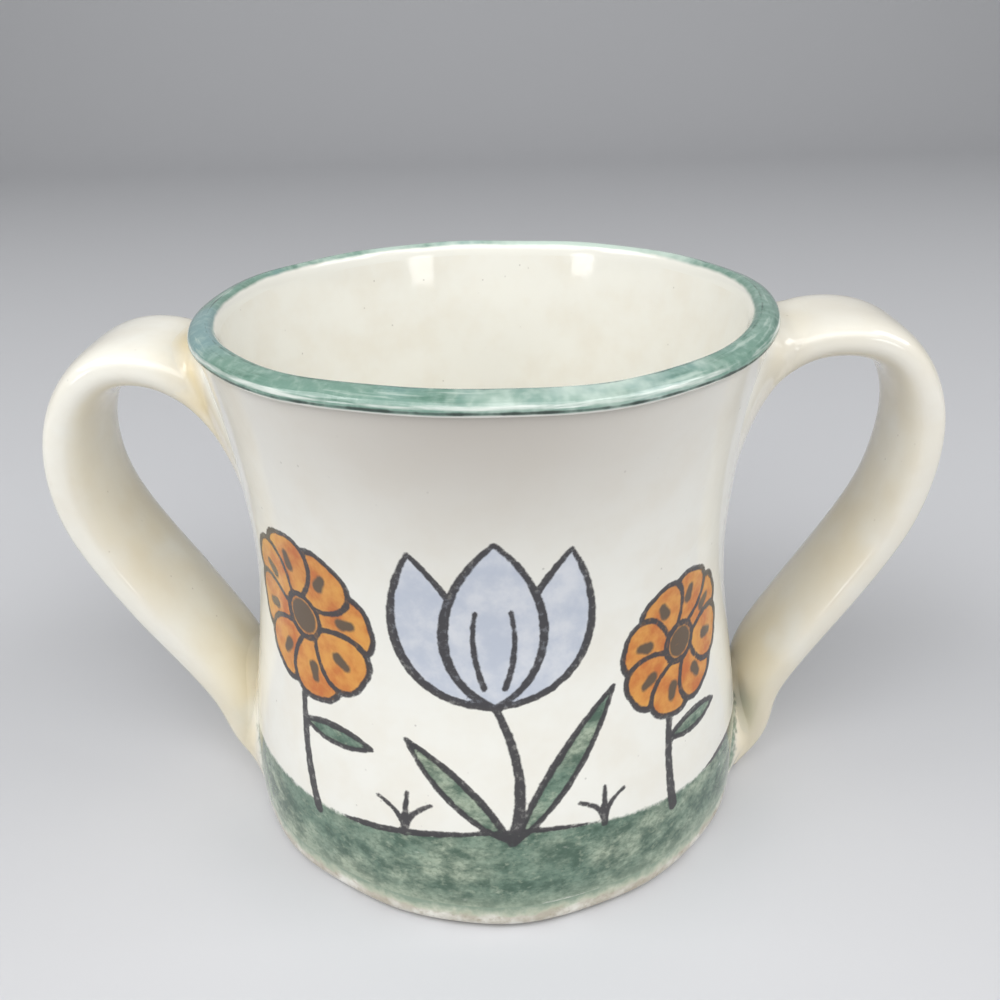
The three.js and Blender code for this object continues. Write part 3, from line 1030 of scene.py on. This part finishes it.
@dataclass
class Wall:
    """The waisted wall with its painting, round both sides."""

    form: CupForm
    steps: int = 480
    crowd: float = 0.17
    outer_rows: int = 164
    inner_rows: int = 24
    painted_low: float = 15 * MM
    painted_high: float = 72 * MM
    row_shares: tuple[float, ...] = (0, 0.12, 0.9, 1)
    inner_honey: float = 0.12
    # Painted shade under the lip, also standing for lean glaze: its strength, how it rises towards the seat
    # and how fast it fades towards the handles.
    lean: float = 0.95
    shade_power: float = 1.3
    shade_turn: float = 0.8

    def outline(self) -> tuple[list[Vector], dict[str, list[float]]]:
        """Returns the wall's closed section, marked for its outside, thick glaze and painted shade under the
        lip.
        """
        form = self.form
        places = (form.floor, self.painted_low, self.painted_high, form.seat)
        up = np.interp(np.linspace(0, 1, self.outer_rows + 1), self.row_shares, places)
        down = np.linspace(form.seat, form.floor, self.inner_rows + 1)
        outside = [Vector((form.outer(z), 0, z)) for z in up]
        inside = [Vector((form.outer(z) - form.wall_thickness, 0, z)) for z in down]
        pool = [self.inner_honey * (1 - smooth_step(form.floor, form.waist_height, z)) for z in down]
        # The lean mark is painted shade under the lip, rising towards the seat.
        lean = [self.lean * smooth_step(form.waist_height, form.seat, z) ** self.shade_power for z in up]
        marks = {"outside": [1.0] * len(outside) + [0.0] * len(inside), "pool": [0.0] * len(outside) + pool,
                 "lean": lean + [0.0] * len(inside)}
        return outside + inside, marks

    def ground(self, side: PaintedSide, places: np.ndarray, angle: np.ndarray) -> None:
        """Paints the green ground and the broken dark line along its top.

        Args:
            side: The whole wall as one side.
            places: The wall's vertices.
            angle: Each vertex's angle about the axis.
        """
        band = Ground()
        line = np.abs(side.up - band.top(angle)) - band.line(angle)
        for paint, distance in ((Paint.GROUND, band.edge(places)), (Paint.LINE, line)):
            side.fields[paint] = np.minimum(side.fields[paint], distance)

    def front(self, side: PaintedSide) -> None:
        """Paints the front: a tulip between two daisies."""
        Tulip((3, 19), (1, 43), 27, 28).paint(side)
        Daisy((-29, 16.5), (-32, 52), 14.5).paint(side)
        Daisy((30, 15.5), (34, 45), 12.5, turn=0.5).paint(side)
        for place, height in (((-13, 19), 8), ((17, 19), 7)):
            Tuft(place, height).paint(side)

    def back(self, side: PaintedSide) -> None:
        """Paints the back: a daisy between two tulips."""
        Daisy((-2, 19), (0, 55), 14.5, turn=0.35).paint(side)
        Tulip((-29, 19), (-30, 38), 23, 24).paint(side)
        Tulip((30, 18.5), (31, 42), 24, 25).paint(side)
        for place, height in (((-15, 19), 7), ((14, 19), 8)):
            Tuft(place, height).paint(side)

    def painted(self, piece: bpy.types.Object) -> None:
        """Works out the painting's distance attributes, and fades the painted shade under the lip out
        towards the handles.
        """
        places = vertex_places(piece)
        angle = np.arctan2(places[:, 1], places[:, 0])
        up = places[:, 2] / MM
        outside = np.zeros(len(up), np.float32)
        piece.data.attributes["outside"].data.foreach_get("value", outside)
        whole = PaintedSide(np.zeros_like(up), up)
        self.ground(whole, places, angle)
        for facing, paint_side in ((FRONT, self.front), (BACK, self.back)):
            away = (angle - facing + math.pi) % FULL_TURN - math.pi
            side = PaintedSide(away * self.form.outer(self.form.waist_height) / MM, up)
            paint_side(side)
            near_side = np.abs(away) < math.pi / 2
            for paint in Paint:
                both = np.minimum(whole.fields[paint], side.fields[paint])
                whole.fields[paint] = np.where(near_side, both, whole.fields[paint])
        for paint in Paint:
            set_attribute(piece, paint.value, np.where(outside > 0.5, whole.fields[paint], whole.far))
        # The lean mark, painted shade, is kept at the front and back and faded out towards the handles.
        lean = np.zeros(len(up), np.float32)
        piece.data.attributes["lean"].data.foreach_get("value", lean)
        lean *= np.exp(-((np.abs(angle) - BACK) / self.shade_turn) ** 2)
        piece.data.attributes["lean"].data.foreach_set("value", lean)

    def build(self, material: bpy.types.Material) -> None:
        """Builds, paints and mounts the wall."""
        outline, marks = self.outline()
        maker = self.form.turned(outline, self.steps, True, marks, self.crowd)
        piece = make_piece("wall_slab", maker, material)
        self.painted(piece)
        mount_piece(piece, Slot.CREAM, "wall")


@dataclass
class Lip:
    """The lip: a top that slopes out to a tight shoulder, a little proud of the wall."""

    form: CupForm
    steps: int = 360
    crest: float = 3.0 * MM
    face_drop: float = 2.1 * MM
    shoulder_drop: float = 0.5 * MM
    inner_flare: float = 0.5 * MM
    faded: tuple[tuple[float, float, float], ...] = (
        (BACK - 0.5, 0.85, 0.8), (BACK + 0.75, 0.45, 0.45), (FRONT + 0.35, 0.58, 0.5))
    under_gather: tuple[float, ...] = (0.0, 0.0, 0.0, 0.0, 0.2, 0.6)
    under_bare: tuple[float, ...] = (1.0, 1.0, 1.0, 0.9, 0.7, 0.4)
    chin_steps: int = 4
    brow_steps: int = 16
    brink_steps: int = 12

    def build(self) -> None:
        """Builds and mounts the lip, marked where its paint gathers, wears thin under a painted highlight,
        fades and ends.
        """
        form = self.form
        rim, top = form.rim_radius, form.height
        outer = rim - form.lip_overhang
        inner = outer - form.wall_thickness
        chin = arc((outer, top - self.face_drop), form.lip_overhang, -math.pi / 3, 0, self.chin_steps)
        under = [Vector((inner, 0, form.seat)), Vector((outer, 0, form.seat))] + chin[:-1]
        brow = bowed([(rim, top - self.face_drop), (rim, top - self.shoulder_drop), (rim - self.crest, top)],
                     self.brow_steps)
        brink = bowed([(rim - self.crest, top), (inner + self.inner_flare, top), (inner, form.seat)],
                      self.brink_steps)[1:-1]
        along_brow = np.linspace(0, 1, len(brow))
        # Pale worn paint and a painted highlight along the lower shoulder.
        wear_and_highlight = np.interp(along_brow, (0.06, 0.15, 0.3, 0.5), (0.2, 0.62, 0.5, 0))
        gather = np.interp(along_brow, (0, 0.06, 0.12, 0.9, 1), (0.68, 0.4, 0, 0, 0.47))
        fade = np.interp(np.linspace(0, 1, len(brink)), (0.2, 0.75), (0, 1))
        marks = {"gather": [*self.under_gather, *gather, *np.zeros(len(brink))],
                 "wear_and_highlight": [*np.zeros(len(under)), *wear_and_highlight, *np.zeros(len(brink))],
                 "bare": [*self.under_bare, *np.zeros(len(brow)), *fade]}
        outline = under + brow + brink
        piece = make_piece("lip_band", form.turned(outline, self.steps, True, marks), LipGlaze().build())
        places = vertex_places(piece)
        angle = np.arctan2(places[:, 1], places[:, 0])
        fading = [share * np.exp(-((angle - middle) / wide) ** 2) for middle, share, wide in self.faded]
        set_attribute(piece, "faded", np.sum(fading, axis=0))
        mount_piece(piece, Slot.GREEN, "lip_coil")


@dataclass
class FloorSlab:
    """The floor disc, with a rounded edge at the table."""

    form: CupForm
    steps: int = 240
    rounding: float = 2.5 * MM
    stain_drop: float = 2.2 * MM
    wiped_height: float = 0.8 * MM
    round_steps: int = 10
    side_stain: tuple[float, float] = (0.45, 1.0)
    inner_honey: float = 0.35

    def build(self) -> None:
        """Builds and mounts the floor disc, marked where it is unglazed, stained or inside the cup."""
        form = self.form
        foot = form.foot_radius
        under = [Vector((0, 0, 0)), Vector((foot / 2, 0, 0))]
        under += arc((foot - self.rounding, self.rounding), self.rounding, -math.pi / 2, 0, self.round_steps)
        side = [Vector((foot, 0, form.floor - self.stain_drop)), Vector((foot, 0, form.floor))]
        inside = [Vector((foot - form.wall_thickness, 0, form.floor)), Vector((0, 0, form.floor))]
        outline = under + side + inside
        outside = [0.0] * len(under + side)
        marks = {"unglazed": [1 - smooth_step(0, self.wiped_height, point.z) for point in outline],
                 "stain": [0.0] * len(under) + [*self.side_stain] + [0.0] * len(inside),
                 "inside": outside + [1.0] * len(inside),
                 "pool": outside + [self.inner_honey] * len(inside)}
        piece = make_piece("floor_disc", form.turned(outline, self.steps, False, marks), FootGlaze().build())
        mount_piece(piece, Slot.CREAM, "floor_slab")


@dataclass
class SeamCoil:
    """The coil smoothed into the corner between floor and wall, inside."""

    form: CupForm
    steps: int = 160
    size: float = 4 * MM
    sunk: float = 0.2 * MM
    round_steps: int = 10
    pooled: float = 0.45

    def build(self) -> None:
        """Builds and mounts the coil."""
        form = self.form
        back = form.outer(form.floor) - form.wall_thickness
        centre = (back - self.size, form.floor + self.size)
        hollow = arc(centre, self.size, -math.pi / 2, 0, self.round_steps)
        outline = hollow + [Vector((back + self.sunk, 0, form.floor + self.size)),
                            Vector((back + self.sunk, 0, form.floor - self.sunk)),
                            Vector((back - self.size, 0, form.floor - self.sunk))]
        marks = {"pool": [self.pooled] * len(outline)}
        piece = make_piece("floor_seam", form.turned(outline, self.steps, True, marks), Glaze().build())
        mount_piece(piece, Slot.CREAM, "floor_seam_coil")


def smear_ground(piece: bpy.types.Object, form: CupForm, reach_mm: float = 0.35,
                 top_mm: float = 15.0) -> None:
    """Marks the ground paint that is brushed from the wall on to a piece beside it, and no other paint.

    Args:
        piece: A strap or a root.
        form: The cup's form.
        reach_mm: How far from the wall the paint's middle edge lies.
        top_mm: How high it is smeared.
    """
    places = vertex_places(piece)
    fields = {paint: np.full(len(places), PaintedSide.far) for paint in Paint}
    fields[Paint.GROUND] = np.maximum.reduce([Ground().edge(places), form.off_wall(places) / MM - reach_mm,
                                              places[:, 2] / MM - top_mm])
    for paint, distances in fields.items():
        set_attribute(piece, paint.value, distances)


@dataclass
class Strap:
    """A pulled strap handle, from its root under the lip to its tail along the wall."""

    form: CupForm
    name: str
    side: int
    widths: tuple[float, float, float, float]
    thicknesses: tuple[float, float, float, float]
    path: tuple[tuple[float, float], ...]
    stations: tuple[float, float, float, float] = (0, 0.3, 0.65, 1)
    rows: int = 150
    round_steps: int = 44
    outer_fullness: float = 3.2
    inner_fullness: float = 2.4
    ease_steps: int = 45
    upper_pool: tuple[float, float] = (0.35, 9 * MM)
    lower_pool: tuple[float, float] = (0.55, 16 * MM)
    # Honey painted as shade and warm reflection on the faces towards the finger gap.
    inner_honey: float = 0.3
    glaze_depth: float = 0.0
    # How much buff grey is painted over the whole strap as shade, through the lean attribute.
    lean: float = 0.0
    gap_middle: float = 8 * MM
    table: np.ndarray = field(init=False)
    length: float = field(init=False)

    def __post_init__(self) -> None:
        """Walks the path, eases its bends and keeps distances, places and headings along it."""
        points = np.array([(self.form.outer(z) + out, z) for out, z in self.path])
        walked = self.curve(points)
        far = np.concatenate([[0], np.cumsum(np.hypot(*np.diff(walked, axis=0).T))])
        even = np.linspace(0, far[-1], len(far))
        half = self.ease_steps // 2
        window = np.hanning(self.ease_steps)
        eased = []
        for column in walked.T:
            longer = np.pad(np.interp(even, far, column), half, "reflect", reflect_type="odd")
            eased.append(np.convolve(longer, window / window.sum(), "valid"))
        eased = np.column_stack(eased)
        far = np.concatenate([[0], np.cumsum(np.hypot(*np.diff(eased, axis=0).T))])
        self.length = far[-1]
        heading = np.gradient(eased, far, axis=0)
        heading /= np.linalg.norm(heading, axis=1)[:, None]
        self.table = np.column_stack([far, eased, heading])

    @staticmethod
    def curve(points: np.ndarray, steps: int = 60) -> np.ndarray:
        """Runs a centripetal Catmull-Rom curve through the path's points.

        Args:
            points: Rows of radius and height.
            steps: How many spans lie between two points.

        Returns:
            Rows of radius and height along the curve.
        """
        ends = np.vstack([2 * points[0] - points[1], points, 2 * points[-1] - points[-2]])
        share = np.linspace(0, 1, steps, endpoint=False)[:, None]
        walked = []
        for a, b, c, d in zip(ends, ends[1:], ends[2:], ends[3:]):
            before, span, after = [np.linalg.norm(q - p) ** 0.5 for p, q in ((a, b), (b, c), (c, d))]
            leave = ((b - a) / before - (c - a) / (before + span) + (c - b) / span) * span
            reach = ((c - b) / span - (d - b) / (span + after) + (d - c) / after) * span
            square = -3 * b + 3 * c - 2 * leave - reach
            cube = 2 * b - 2 * c + leave + reach
            walked.append(b + leave * share + square * share ** 2 + cube * share ** 3)
        return np.vstack(walked + [points[-1:]])

    def row(self, far: float) -> Matrix:
        """Places a unit section at a distance along the strap.

        Args:
            far: The distance from the root end.

        Returns:
            A matrix whose X is half the width across, Y half the thickness outwards and Z the heading.
        """
        radius, z, go, climb = [np.interp(far, self.table[:, 0], self.table[:, k]) for k in range(1, 5)]
        share = far / self.length
        half_width = np.interp(share, self.stations, self.widths) / 2
        half_thick = np.interp(share, self.stations, self.thicknesses) / 2
        across = Vector((0, half_width, 0))
        outward = Vector((-climb * self.side, 0, go)) * half_thick
        heading = Vector((go * self.side, 0, climb))
        place = Vector((radius * self.side, 0, z))
        matrix = Matrix((across, outward, heading)).transposed().to_4x4()
        matrix.translation = place
        return matrix

    def section(self, angle: float) -> Vector:
        """Returns a point of the unit section, an oval that is flatter outside than inside."""
        power = 2 / (self.outer_fullness if math.sin(angle) > 0 else self.inner_fullness)
        x = math.copysign(abs(math.cos(angle)) ** power, math.cos(angle))
        y = math.copysign(abs(math.sin(angle)) ** power, math.sin(angle))
        return Vector((x, y, 0))

    def skin(self, angle: float, far: float) -> Vector:
        """Returns a point of the strap's skin."""
        return self.row(far) @ self.section(angle)

    def gap_facing(self, piece: bpy.types.Object, places: np.ndarray) -> np.ndarray:
        """Finds how far each vertex of the strap faces the finger gap, for the painted shade there.

        Args:
            piece: The strap.
            places: Its vertices.

        Returns:
            A share per vertex, 1 where the skin faces the middle of the gap.
        """
        normals = np.zeros(places.size, np.float32)
        piece.data.vertices.foreach_get("normal", normals)
        middle = np.array((self.side * (self.form.rim_radius + self.gap_middle), 0, self.form.waist_height))
        towards = (middle - places) * (1, 0, 1)
        towards /= np.linalg.norm(towards, axis=1)[:, None]
        return np.clip((normals.reshape(-1, 3) * towards).sum(1), 0, 1) ** 2

    def glaze_at_roots(self, places: np.ndarray) -> np.ndarray:
        """Finds how thick the glaze lies, thickest where the strap meets the wall.

        Args:
            places: Vertices of the strap or of one of its roots.

        Returns:
            A share per vertex.
        """
        upper = places[:, 2] > self.form.waist_height
        most, reach = [np.where(upper, high, low) for high, low in zip(self.upper_pool, self.lower_pool)]
        return most * np.clip(1 - self.form.off_wall(places) / reach, 0, 1) + self.glaze_depth

    def build(self, material: bpy.types.Material) -> None:
        """Extrudes the section along the path, keeps its ends out of the cup and mounts the strap."""
        maker = bmesh.new()
        made = bmesh.ops.create_circle(maker, segments=self.round_steps, radius=1, cap_ends=True)
        ring = made["verts"]
        for number, vert in enumerate(ring):
            vert.co = self.section(FULL_TURN * number / self.round_steps)
        stops = np.linspace(0, self.length, self.rows + 1)
        last = self.row(stops[0])
        bmesh.ops.transform(maker, matrix=last, verts=ring)
        edges = list(maker.edges)
        for stop in stops[1:]:
            grown = bmesh.ops.extrude_edge_only(maker, edges=edges)["geom"]
            ring = [item for item in grown if isinstance(item, bmesh.types.BMVert)]
            fresh = set(ring)
            edges = [item for item in grown
                     if isinstance(item, bmesh.types.BMEdge) and set(item.verts) <= fresh]
            here = self.row(stop)
            bmesh.ops.transform(maker, matrix=here @ last.inverted(), verts=ring)
            last = here
        bmesh.ops.holes_fill(maker, edges=edges)
        for vert in maker.verts:
            least = self.form.outer(vert.co.z) - self.form.wall_thickness / 2
            grown = max(1.0, least / math.hypot(vert.co.x, vert.co.y))
            vert.co = vert.co * Vector((grown, grown, 1))
        bmesh.ops.recalc_face_normals(maker, faces=maker.faces)
        piece = make_piece(f"{self.name}_strap", maker, material)
        places = vertex_places(piece)
        # Faces towards the finger gap get honey as painted shade and warm reflection, beside the real
        # pooling at the roots.
        gap_shade = self.inner_honey * self.gap_facing(piece, places) + self.glaze_depth
        set_attribute(piece, "pool", np.maximum(self.glaze_at_roots(places), gap_shade))
        set_attribute(piece, "lean", np.full(len(places), self.lean))
        smear_ground(piece, self.form)
        mount_piece(piece, Slot.CREAM, f"{self.name}_handle")


class End(Enum):
    """The two ends of a strap."""

    UPPER = "upper"
    LOWER = "lower"


@dataclass(frozen=True)
class Reach:
    """How far a root's clay is smoothed over, beside and under the strap."""

    over: float
    beside: float
    under: float

    def along(self, away: Vector) -> float:
        """Returns the reach in a direction, given across the wall and up it."""
        upright = self.over if away.y > 0 else self.under
        return self.beside * away.x ** 2 + upright * away.y ** 2


@dataclass
class RootCoil:
    """The clay smoothed round a strap's root: a hollow-faced ring from the strap's skin to the wall's."""

    strap: Strap
    end: End
    on_strap: Reach
    on_wall: Reach
    filled: Reach
    fill_depth: float = 4 * MM
    sunk: float = 0.05 * MM
    round_steps: int = 96
    face_steps: int = 12
    search_steps: int = 90
    search_limit: float = 0.02 * MM
    pull: float = 2 / 3
    pooled: float = 0.6

    def leaves(self, angle: float, stop: float) -> bool:
        """Tells whether the strap's skin is clear of the wall at a distance from this end."""
        point = self.strap.skin(angle, self.far(stop))
        return math.hypot(point.x, point.y) > self.strap.form.outer(point.z)

    def far(self, stop: float) -> float:
        """Returns the distance along the strap that is a given distance from this end."""
        return stop if self.end is End.UPPER else self.strap.length - stop

    def meeting(self, angle: float) -> float:
        """Finds where one line of the strap's skin comes out of the wall.

        Args:
            angle: The line's place round the section.

        Returns:
            The distance from this end of the strap.
        """
        stops = np.linspace(0, self.strap.length / 3, self.search_steps)
        outside = next(n for n, stop in enumerate(stops) if self.leaves(angle, stop))
        low, high = stops[max(outside - 1, 0)], stops[outside]
        while high - low > self.search_limit:
            middle = (low + high) / 2
            if self.leaves(angle, middle):
                high = middle
            else:
                low = middle
        return high

    def ring(self, angle: float, stop: float, middle: tuple[float, float], squash: float) -> list[Vector]:
        """Works out the coil's section at one place round the strap.

        Args:
            angle: The place round the strap's section.
            stop: Where the strap's skin meets the wall there, from this end.
            middle: The angle about the cup's axis, and the height, of the root's middle.
            squash: How much wider than tall the root is, squared.

        Returns:
            The section's points: the hollow face from strap to wall, then a point inside the wall.
        """
        strap, form = self.strap, self.strap.form
        meet = strap.skin(angle, self.far(stop))
        about = math.atan2(meet.y, meet.x)
        turn = (about - middle[0] + math.pi) % FULL_TURN - math.pi
        radius = form.outer(meet.z)
        away = Vector((turn * radius, (meet.z - middle[1]) * squash)).normalized()
        far = self.far(stop + self.on_strap.along(away))
        start = strap.skin(angle, far)
        start += (strap.row(far).translation - start).normalized() * self.sunk
        spread = away * self.on_wall.along(away)
        height = min(max(meet.z + spread.y, form.floor / 2), form.seat)
        end = form.on_wall(about + spread.x / radius, height, -self.sunk)
        corner = form.on_wall(about, meet.z, 0)
        filled = self.filled.along(away)
        outward = Vector((math.cos(about), math.sin(about), 0)) * filled * self.fill_depth
        homeward = strap.row(far).col[2].to_3d() * (-1 if self.end is End.UPPER else 1)
        leaving = homeward * (corner - start).length * self.pull * (1 - filled / 2)
        pulls = (start + leaving, end.lerp(corner, self.pull * (1 - filled)) + outward)
        face = []
        for t in np.linspace(0, 1, self.face_steps + 1):
            near = start * (1 - t) ** 3 + pulls[0] * (3 * t * (1 - t) ** 2)
            face.append(near + pulls[1] * (3 * t * t * (1 - t)) + end * t ** 3)
        return face + [form.on_wall(about, meet.z, -form.wall_thickness / 2)]

    def build(self, material: bpy.types.Material) -> None:
        """Bridges the sections into a closed ring and mounts it."""
        strap = self.strap
        angles = [FULL_TURN * n / self.round_steps for n in range(self.round_steps)]
        stops = [self.meeting(angle) for angle in angles]
        heights = [strap.skin(angle, self.far(stop)).z for angle, stop in zip(angles, stops)]
        middle = (0 if strap.side > 0 else math.pi, (max(heights) + min(heights)) / 2)
        squash = (max(strap.widths) / (max(heights) - min(heights))) ** 2
        maker = bmesh.new()
        loops = []
        for angle, stop in zip(angles, stops):
            verts = [maker.verts.new(point) for point in self.ring(angle, stop, middle, squash)]
            loops.append([maker.edges.new(pair) for pair in zip(verts, verts[1:] + verts[:1])])
        for near, far in zip(loops, loops[1:] + loops[:1]):
            bmesh.ops.bridge_loops(maker, edges=near + far)
        bmesh.ops.recalc_face_normals(maker, faces=maker.faces)
        # So hollow a ring can be taken for its own inside.
        if maker.calc_volume(signed=True) < 0:
            bmesh.ops.reverse_faces(maker, faces=maker.faces)
        piece = make_piece(f"{strap.name}_{self.end.value}_root", maker, material)
        share = np.append(np.linspace(0, 1, self.face_steps + 1), 1)
        hollow = np.tile(np.sin(share * math.pi) * self.pooled, self.round_steps)
        on_strap = np.tile(1 - share, self.round_steps)
        set_attribute(piece, "pool", hollow + strap.glaze_at_roots(vertex_places(piece)) * on_strap)
        # The strap's painted shade carries on over the root.
        set_attribute(piece, "lean", on_strap * strap.lean)
        smear_ground(piece, strap.form)
        mount_piece(piece, Slot.CREAM, f"{strap.name}_{self.end.value}_root_coil")


@dataclass(frozen=True)
class Luting:
    """How one strap's roots are worked into the wall."""

    over: float
    spread: float
    under: float
    fill: float
    pooled: float
    tail: float
    above: float = 4.5 * MM
    skirt: float = 2 * MM
    side_fill: float = 0.42
    tail_on_strap: tuple[float, float] = (6 * MM, 6.5 * MM)
    tail_on_wall: tuple[float, float] = (5 * MM, 5 * MM)
    tail_fill: tuple[float, float] = (0.1, 0.3)
    tail_pooled: float = 0.2

    def roots(self, strap: Strap) -> tuple[RootCoil, RootCoil]:
        """Returns the strap's upper and lower roots."""
        upper = RootCoil(strap, End.UPPER, Reach(self.over, self.over, self.under),
                         Reach(self.above, self.spread, self.under + self.skirt),
                         Reach(self.fill, self.side_fill, 0), pooled=self.pooled)
        lower = RootCoil(strap, End.LOWER, Reach(*self.tail_on_strap, self.tail),
                         Reach(*self.tail_on_wall, self.tail), Reach(*self.tail_fill, 0),
                         pooled=self.tail_pooled)
        return upper, lower


class LampShape(Enum):
    """Outlines of a soft lamp, as Blender names them."""

    OBLONG = "RECTANGLE"
    OVAL = "ELLIPSE"


@dataclass(frozen=True)
class Lamp:
    """One soft lamp."""

    name: str
    shape: LampShape
    place: tuple[float, float, float]
    wide: float
    tall: float
    watts: float

    def hang(self, aim: Vector) -> None:
        """Hangs the lamp, facing a point."""
        light = bpy.data.lights.new(self.name, "AREA")
        light.shape = self.shape.value
        light.size = self.wide
        light.size_y = self.tall
        light.energy = self.watts
        lamp = bpy.data.objects.new(self.name, light)
        lamp.location = self.place
        lamp.rotation_euler = (aim - Vector(self.place)).to_track_quat("-Z", "Y").to_euler()
        bpy.context.scene.collection.objects.link(lamp)


@dataclass
class Studio:
    """The paper sweep, the lamps and the camera at the photograph's angle."""

    floor_reach: float = 1.6
    floor_back: float = 0.75
    sweep_radius: float = 0.35
    sweep_height: float = 1.1
    camera_place: tuple[float, float, float] = (5.0 * MM, -158.8 * MM, 138.8 * MM)
    camera_heading_deg: float = 1.17
    camera_pitch_deg: float = 27.58
    camera_roll_deg: float = 1.59
    camera_clip: float = 10 * MM
    lamp_aim: float = 60 * MM
    lamps: tuple[Lamp, ...] = (
        Lamp("front_softbox", LampShape.OBLONG, (-0.05, -0.54, 0.85), wide=1.5, tall=0.7, watts=9.1),
        Lamp("left_softbox", LampShape.OBLONG, (-0.75, -0.15, 0.75), wide=0.5, tall=0.5, watts=3.3),
        Lamp("right_softbox", LampShape.OBLONG, (0.75, -0.15, 0.75), wide=0.5, tall=0.5, watts=3.6),
        Lamp("left_window", LampShape.OVAL, (-0.75, -0.65, 0.26), wide=0.21, tall=0.27, watts=0.72),
        Lamp("right_window", LampShape.OVAL, (0.5, -0.75, 0.22), wide=0.2, tall=0.22, watts=0.5))
    sweep_steps: int = 12
    room_colour: tuple[float, float, float, float] = (0.9, 0.94, 1.0, 1.0)
    room_strength: float = 0.04
    focal_px: float = 982
    frame_px: float = 1000
    sensor_mm: float = 36

    def floor(self) -> None:
        """Makes the pale paper sweep."""
        maker = bmesh.new()
        outline = [Vector((0, -self.floor_reach, 0)), Vector((0, self.floor_back, 0))]
        centre = Vector((0, self.floor_back, self.sweep_radius))
        for angle in np.linspace(-math.pi / 2, 0, self.sweep_steps + 1)[1:]:
            outline.append(centre + Vector((0, math.cos(angle), math.sin(angle))) * self.sweep_radius)
        outline.append(Vector((0, self.floor_back + self.sweep_radius, self.sweep_height)))
        verts = [maker.verts.new(point - Vector((self.floor_reach, 0, 0))) for point in outline]
        edges = [maker.edges.new(pair) for pair in zip(verts, verts[1:])]
        grown = bmesh.ops.extrude_edge_only(maker, edges=edges)["geom"]
        far = [item for item in grown if isinstance(item, bmesh.types.BMVert)]
        bmesh.ops.translate(maker, verts=far, vec=(2 * self.floor_reach, 0, 0))
        bmesh.ops.recalc_face_normals(maker, faces=maker.faces)
        make_piece("paper_sweep", maker, StudioFloor().build())

    def lights(self) -> None:
        """Hangs the lamps and sets the soft light of the room."""
        for lamp in self.lamps:
            lamp.hang(Vector((0, 0, self.lamp_aim)))
        world = bpy.data.worlds.new("room")
        world.use_nodes = True
        background = world.node_tree.nodes["Background"]
        background.inputs["Color"].default_value = self.room_colour
        background.inputs["Strength"].default_value = self.room_strength
        bpy.context.scene.world = world
        bpy.context.scene.view_settings.view_transform = "Standard"

    def camera(self) -> None:
        """Sets the camera where the photograph was taken from."""
        data = bpy.data.cameras.new("photo_camera")
        data.sensor_width = self.sensor_mm
        data.lens = self.focal_px / self.frame_px * self.sensor_mm
        data.clip_start = self.camera_clip
        camera = bpy.data.objects.new("photo_camera", data)
        heading = Matrix.Rotation(math.radians(self.camera_heading_deg), 4, "Z")
        pitch = Matrix.Rotation(math.radians(90 - self.camera_pitch_deg), 4, "X")
        roll = Matrix.Rotation(math.radians(-self.camera_roll_deg), 4, "Z")
        camera.matrix_world = Matrix.Translation(self.camera_place) @ heading @ pitch @ roll
        bpy.context.scene.collection.objects.link(camera)
        bpy.context.scene.camera = camera

    def build(self) -> None:
        """Sets up the whole studio."""
        self.floor()
        self.lights()
        self.camera()


def left_strap(form: CupForm) -> Strap:
    """Returns the handle on the photograph's left."""
    seat = form.seat
    path = ((-1.5 * MM, seat - 13.4 * MM), (6.9 * MM, seat - 6.3 * MM), (16.9 * MM, seat - 6.1 * MM),
            (25.9 * MM, seat - 14.8 * MM), (28.8 * MM, seat - 31.8 * MM), (4.9 * MM, 20.4 * MM),
            (0.3 * MM, 9 * MM), (-5 * MM, 3.5 * MM))
    return Strap(form, "left", -1, (24 * MM, 23.7 * MM, 25.3 * MM, 23.3 * MM),
                 (8.4 * MM, 7.7 * MM, 8.3 * MM, 7.4 * MM), path, glaze_depth=0.1)


def right_strap(form: CupForm) -> Strap:
    """Returns the handle on the photograph's right, a little slimmer."""
    seat = form.seat
    path = ((-3 * MM, seat - 12.8 * MM), (6.4 * MM, seat - 4.3 * MM), (20 * MM, seat - 5.2 * MM),
            (28.5 * MM, seat - 15.2 * MM), (29.5 * MM, seat - 34.1 * MM), (4.9 * MM, 18.2 * MM),
            (3 * MM, 9.5 * MM), (-1.8 * MM, 2 * MM))
    # The right strap is darkened a little with painted shade.
    return Strap(form, "right", 1, (20.8 * MM, 20.7 * MM, 21.1 * MM, 21 * MM),
                 (7.2 * MM, 7 * MM, 7.3 * MM, 6.9 * MM), path, glaze_depth=0.2, lean=0.2)


def main() -> None:
    """Builds the mug's pieces in order."""
    form = CupForm.from_frame()
    painted = PaintedGlaze().build()
    FloorSlab(form).build()
    Wall(form).build(painted)
    Lip(form).build()
    SeamCoil(form).build()
    left_luting = Luting(over=6 * MM, spread=9 * MM, under=11 * MM, fill=0.6, pooled=0.7, tail=4.5 * MM)
    right_luting = Luting(over=7.5 * MM, spread=10.5 * MM, under=8.5 * MM, fill=0.35, pooled=0.1,
                          tail=6 * MM)
    for strap, luting in ((left_strap(form), left_luting), (right_strap(form), right_luting)):
        strap.build(painted)
        for root in luting.roots(strap):
            root.build(painted)
    Studio().build()


if __name__ == "__main__":
    main()
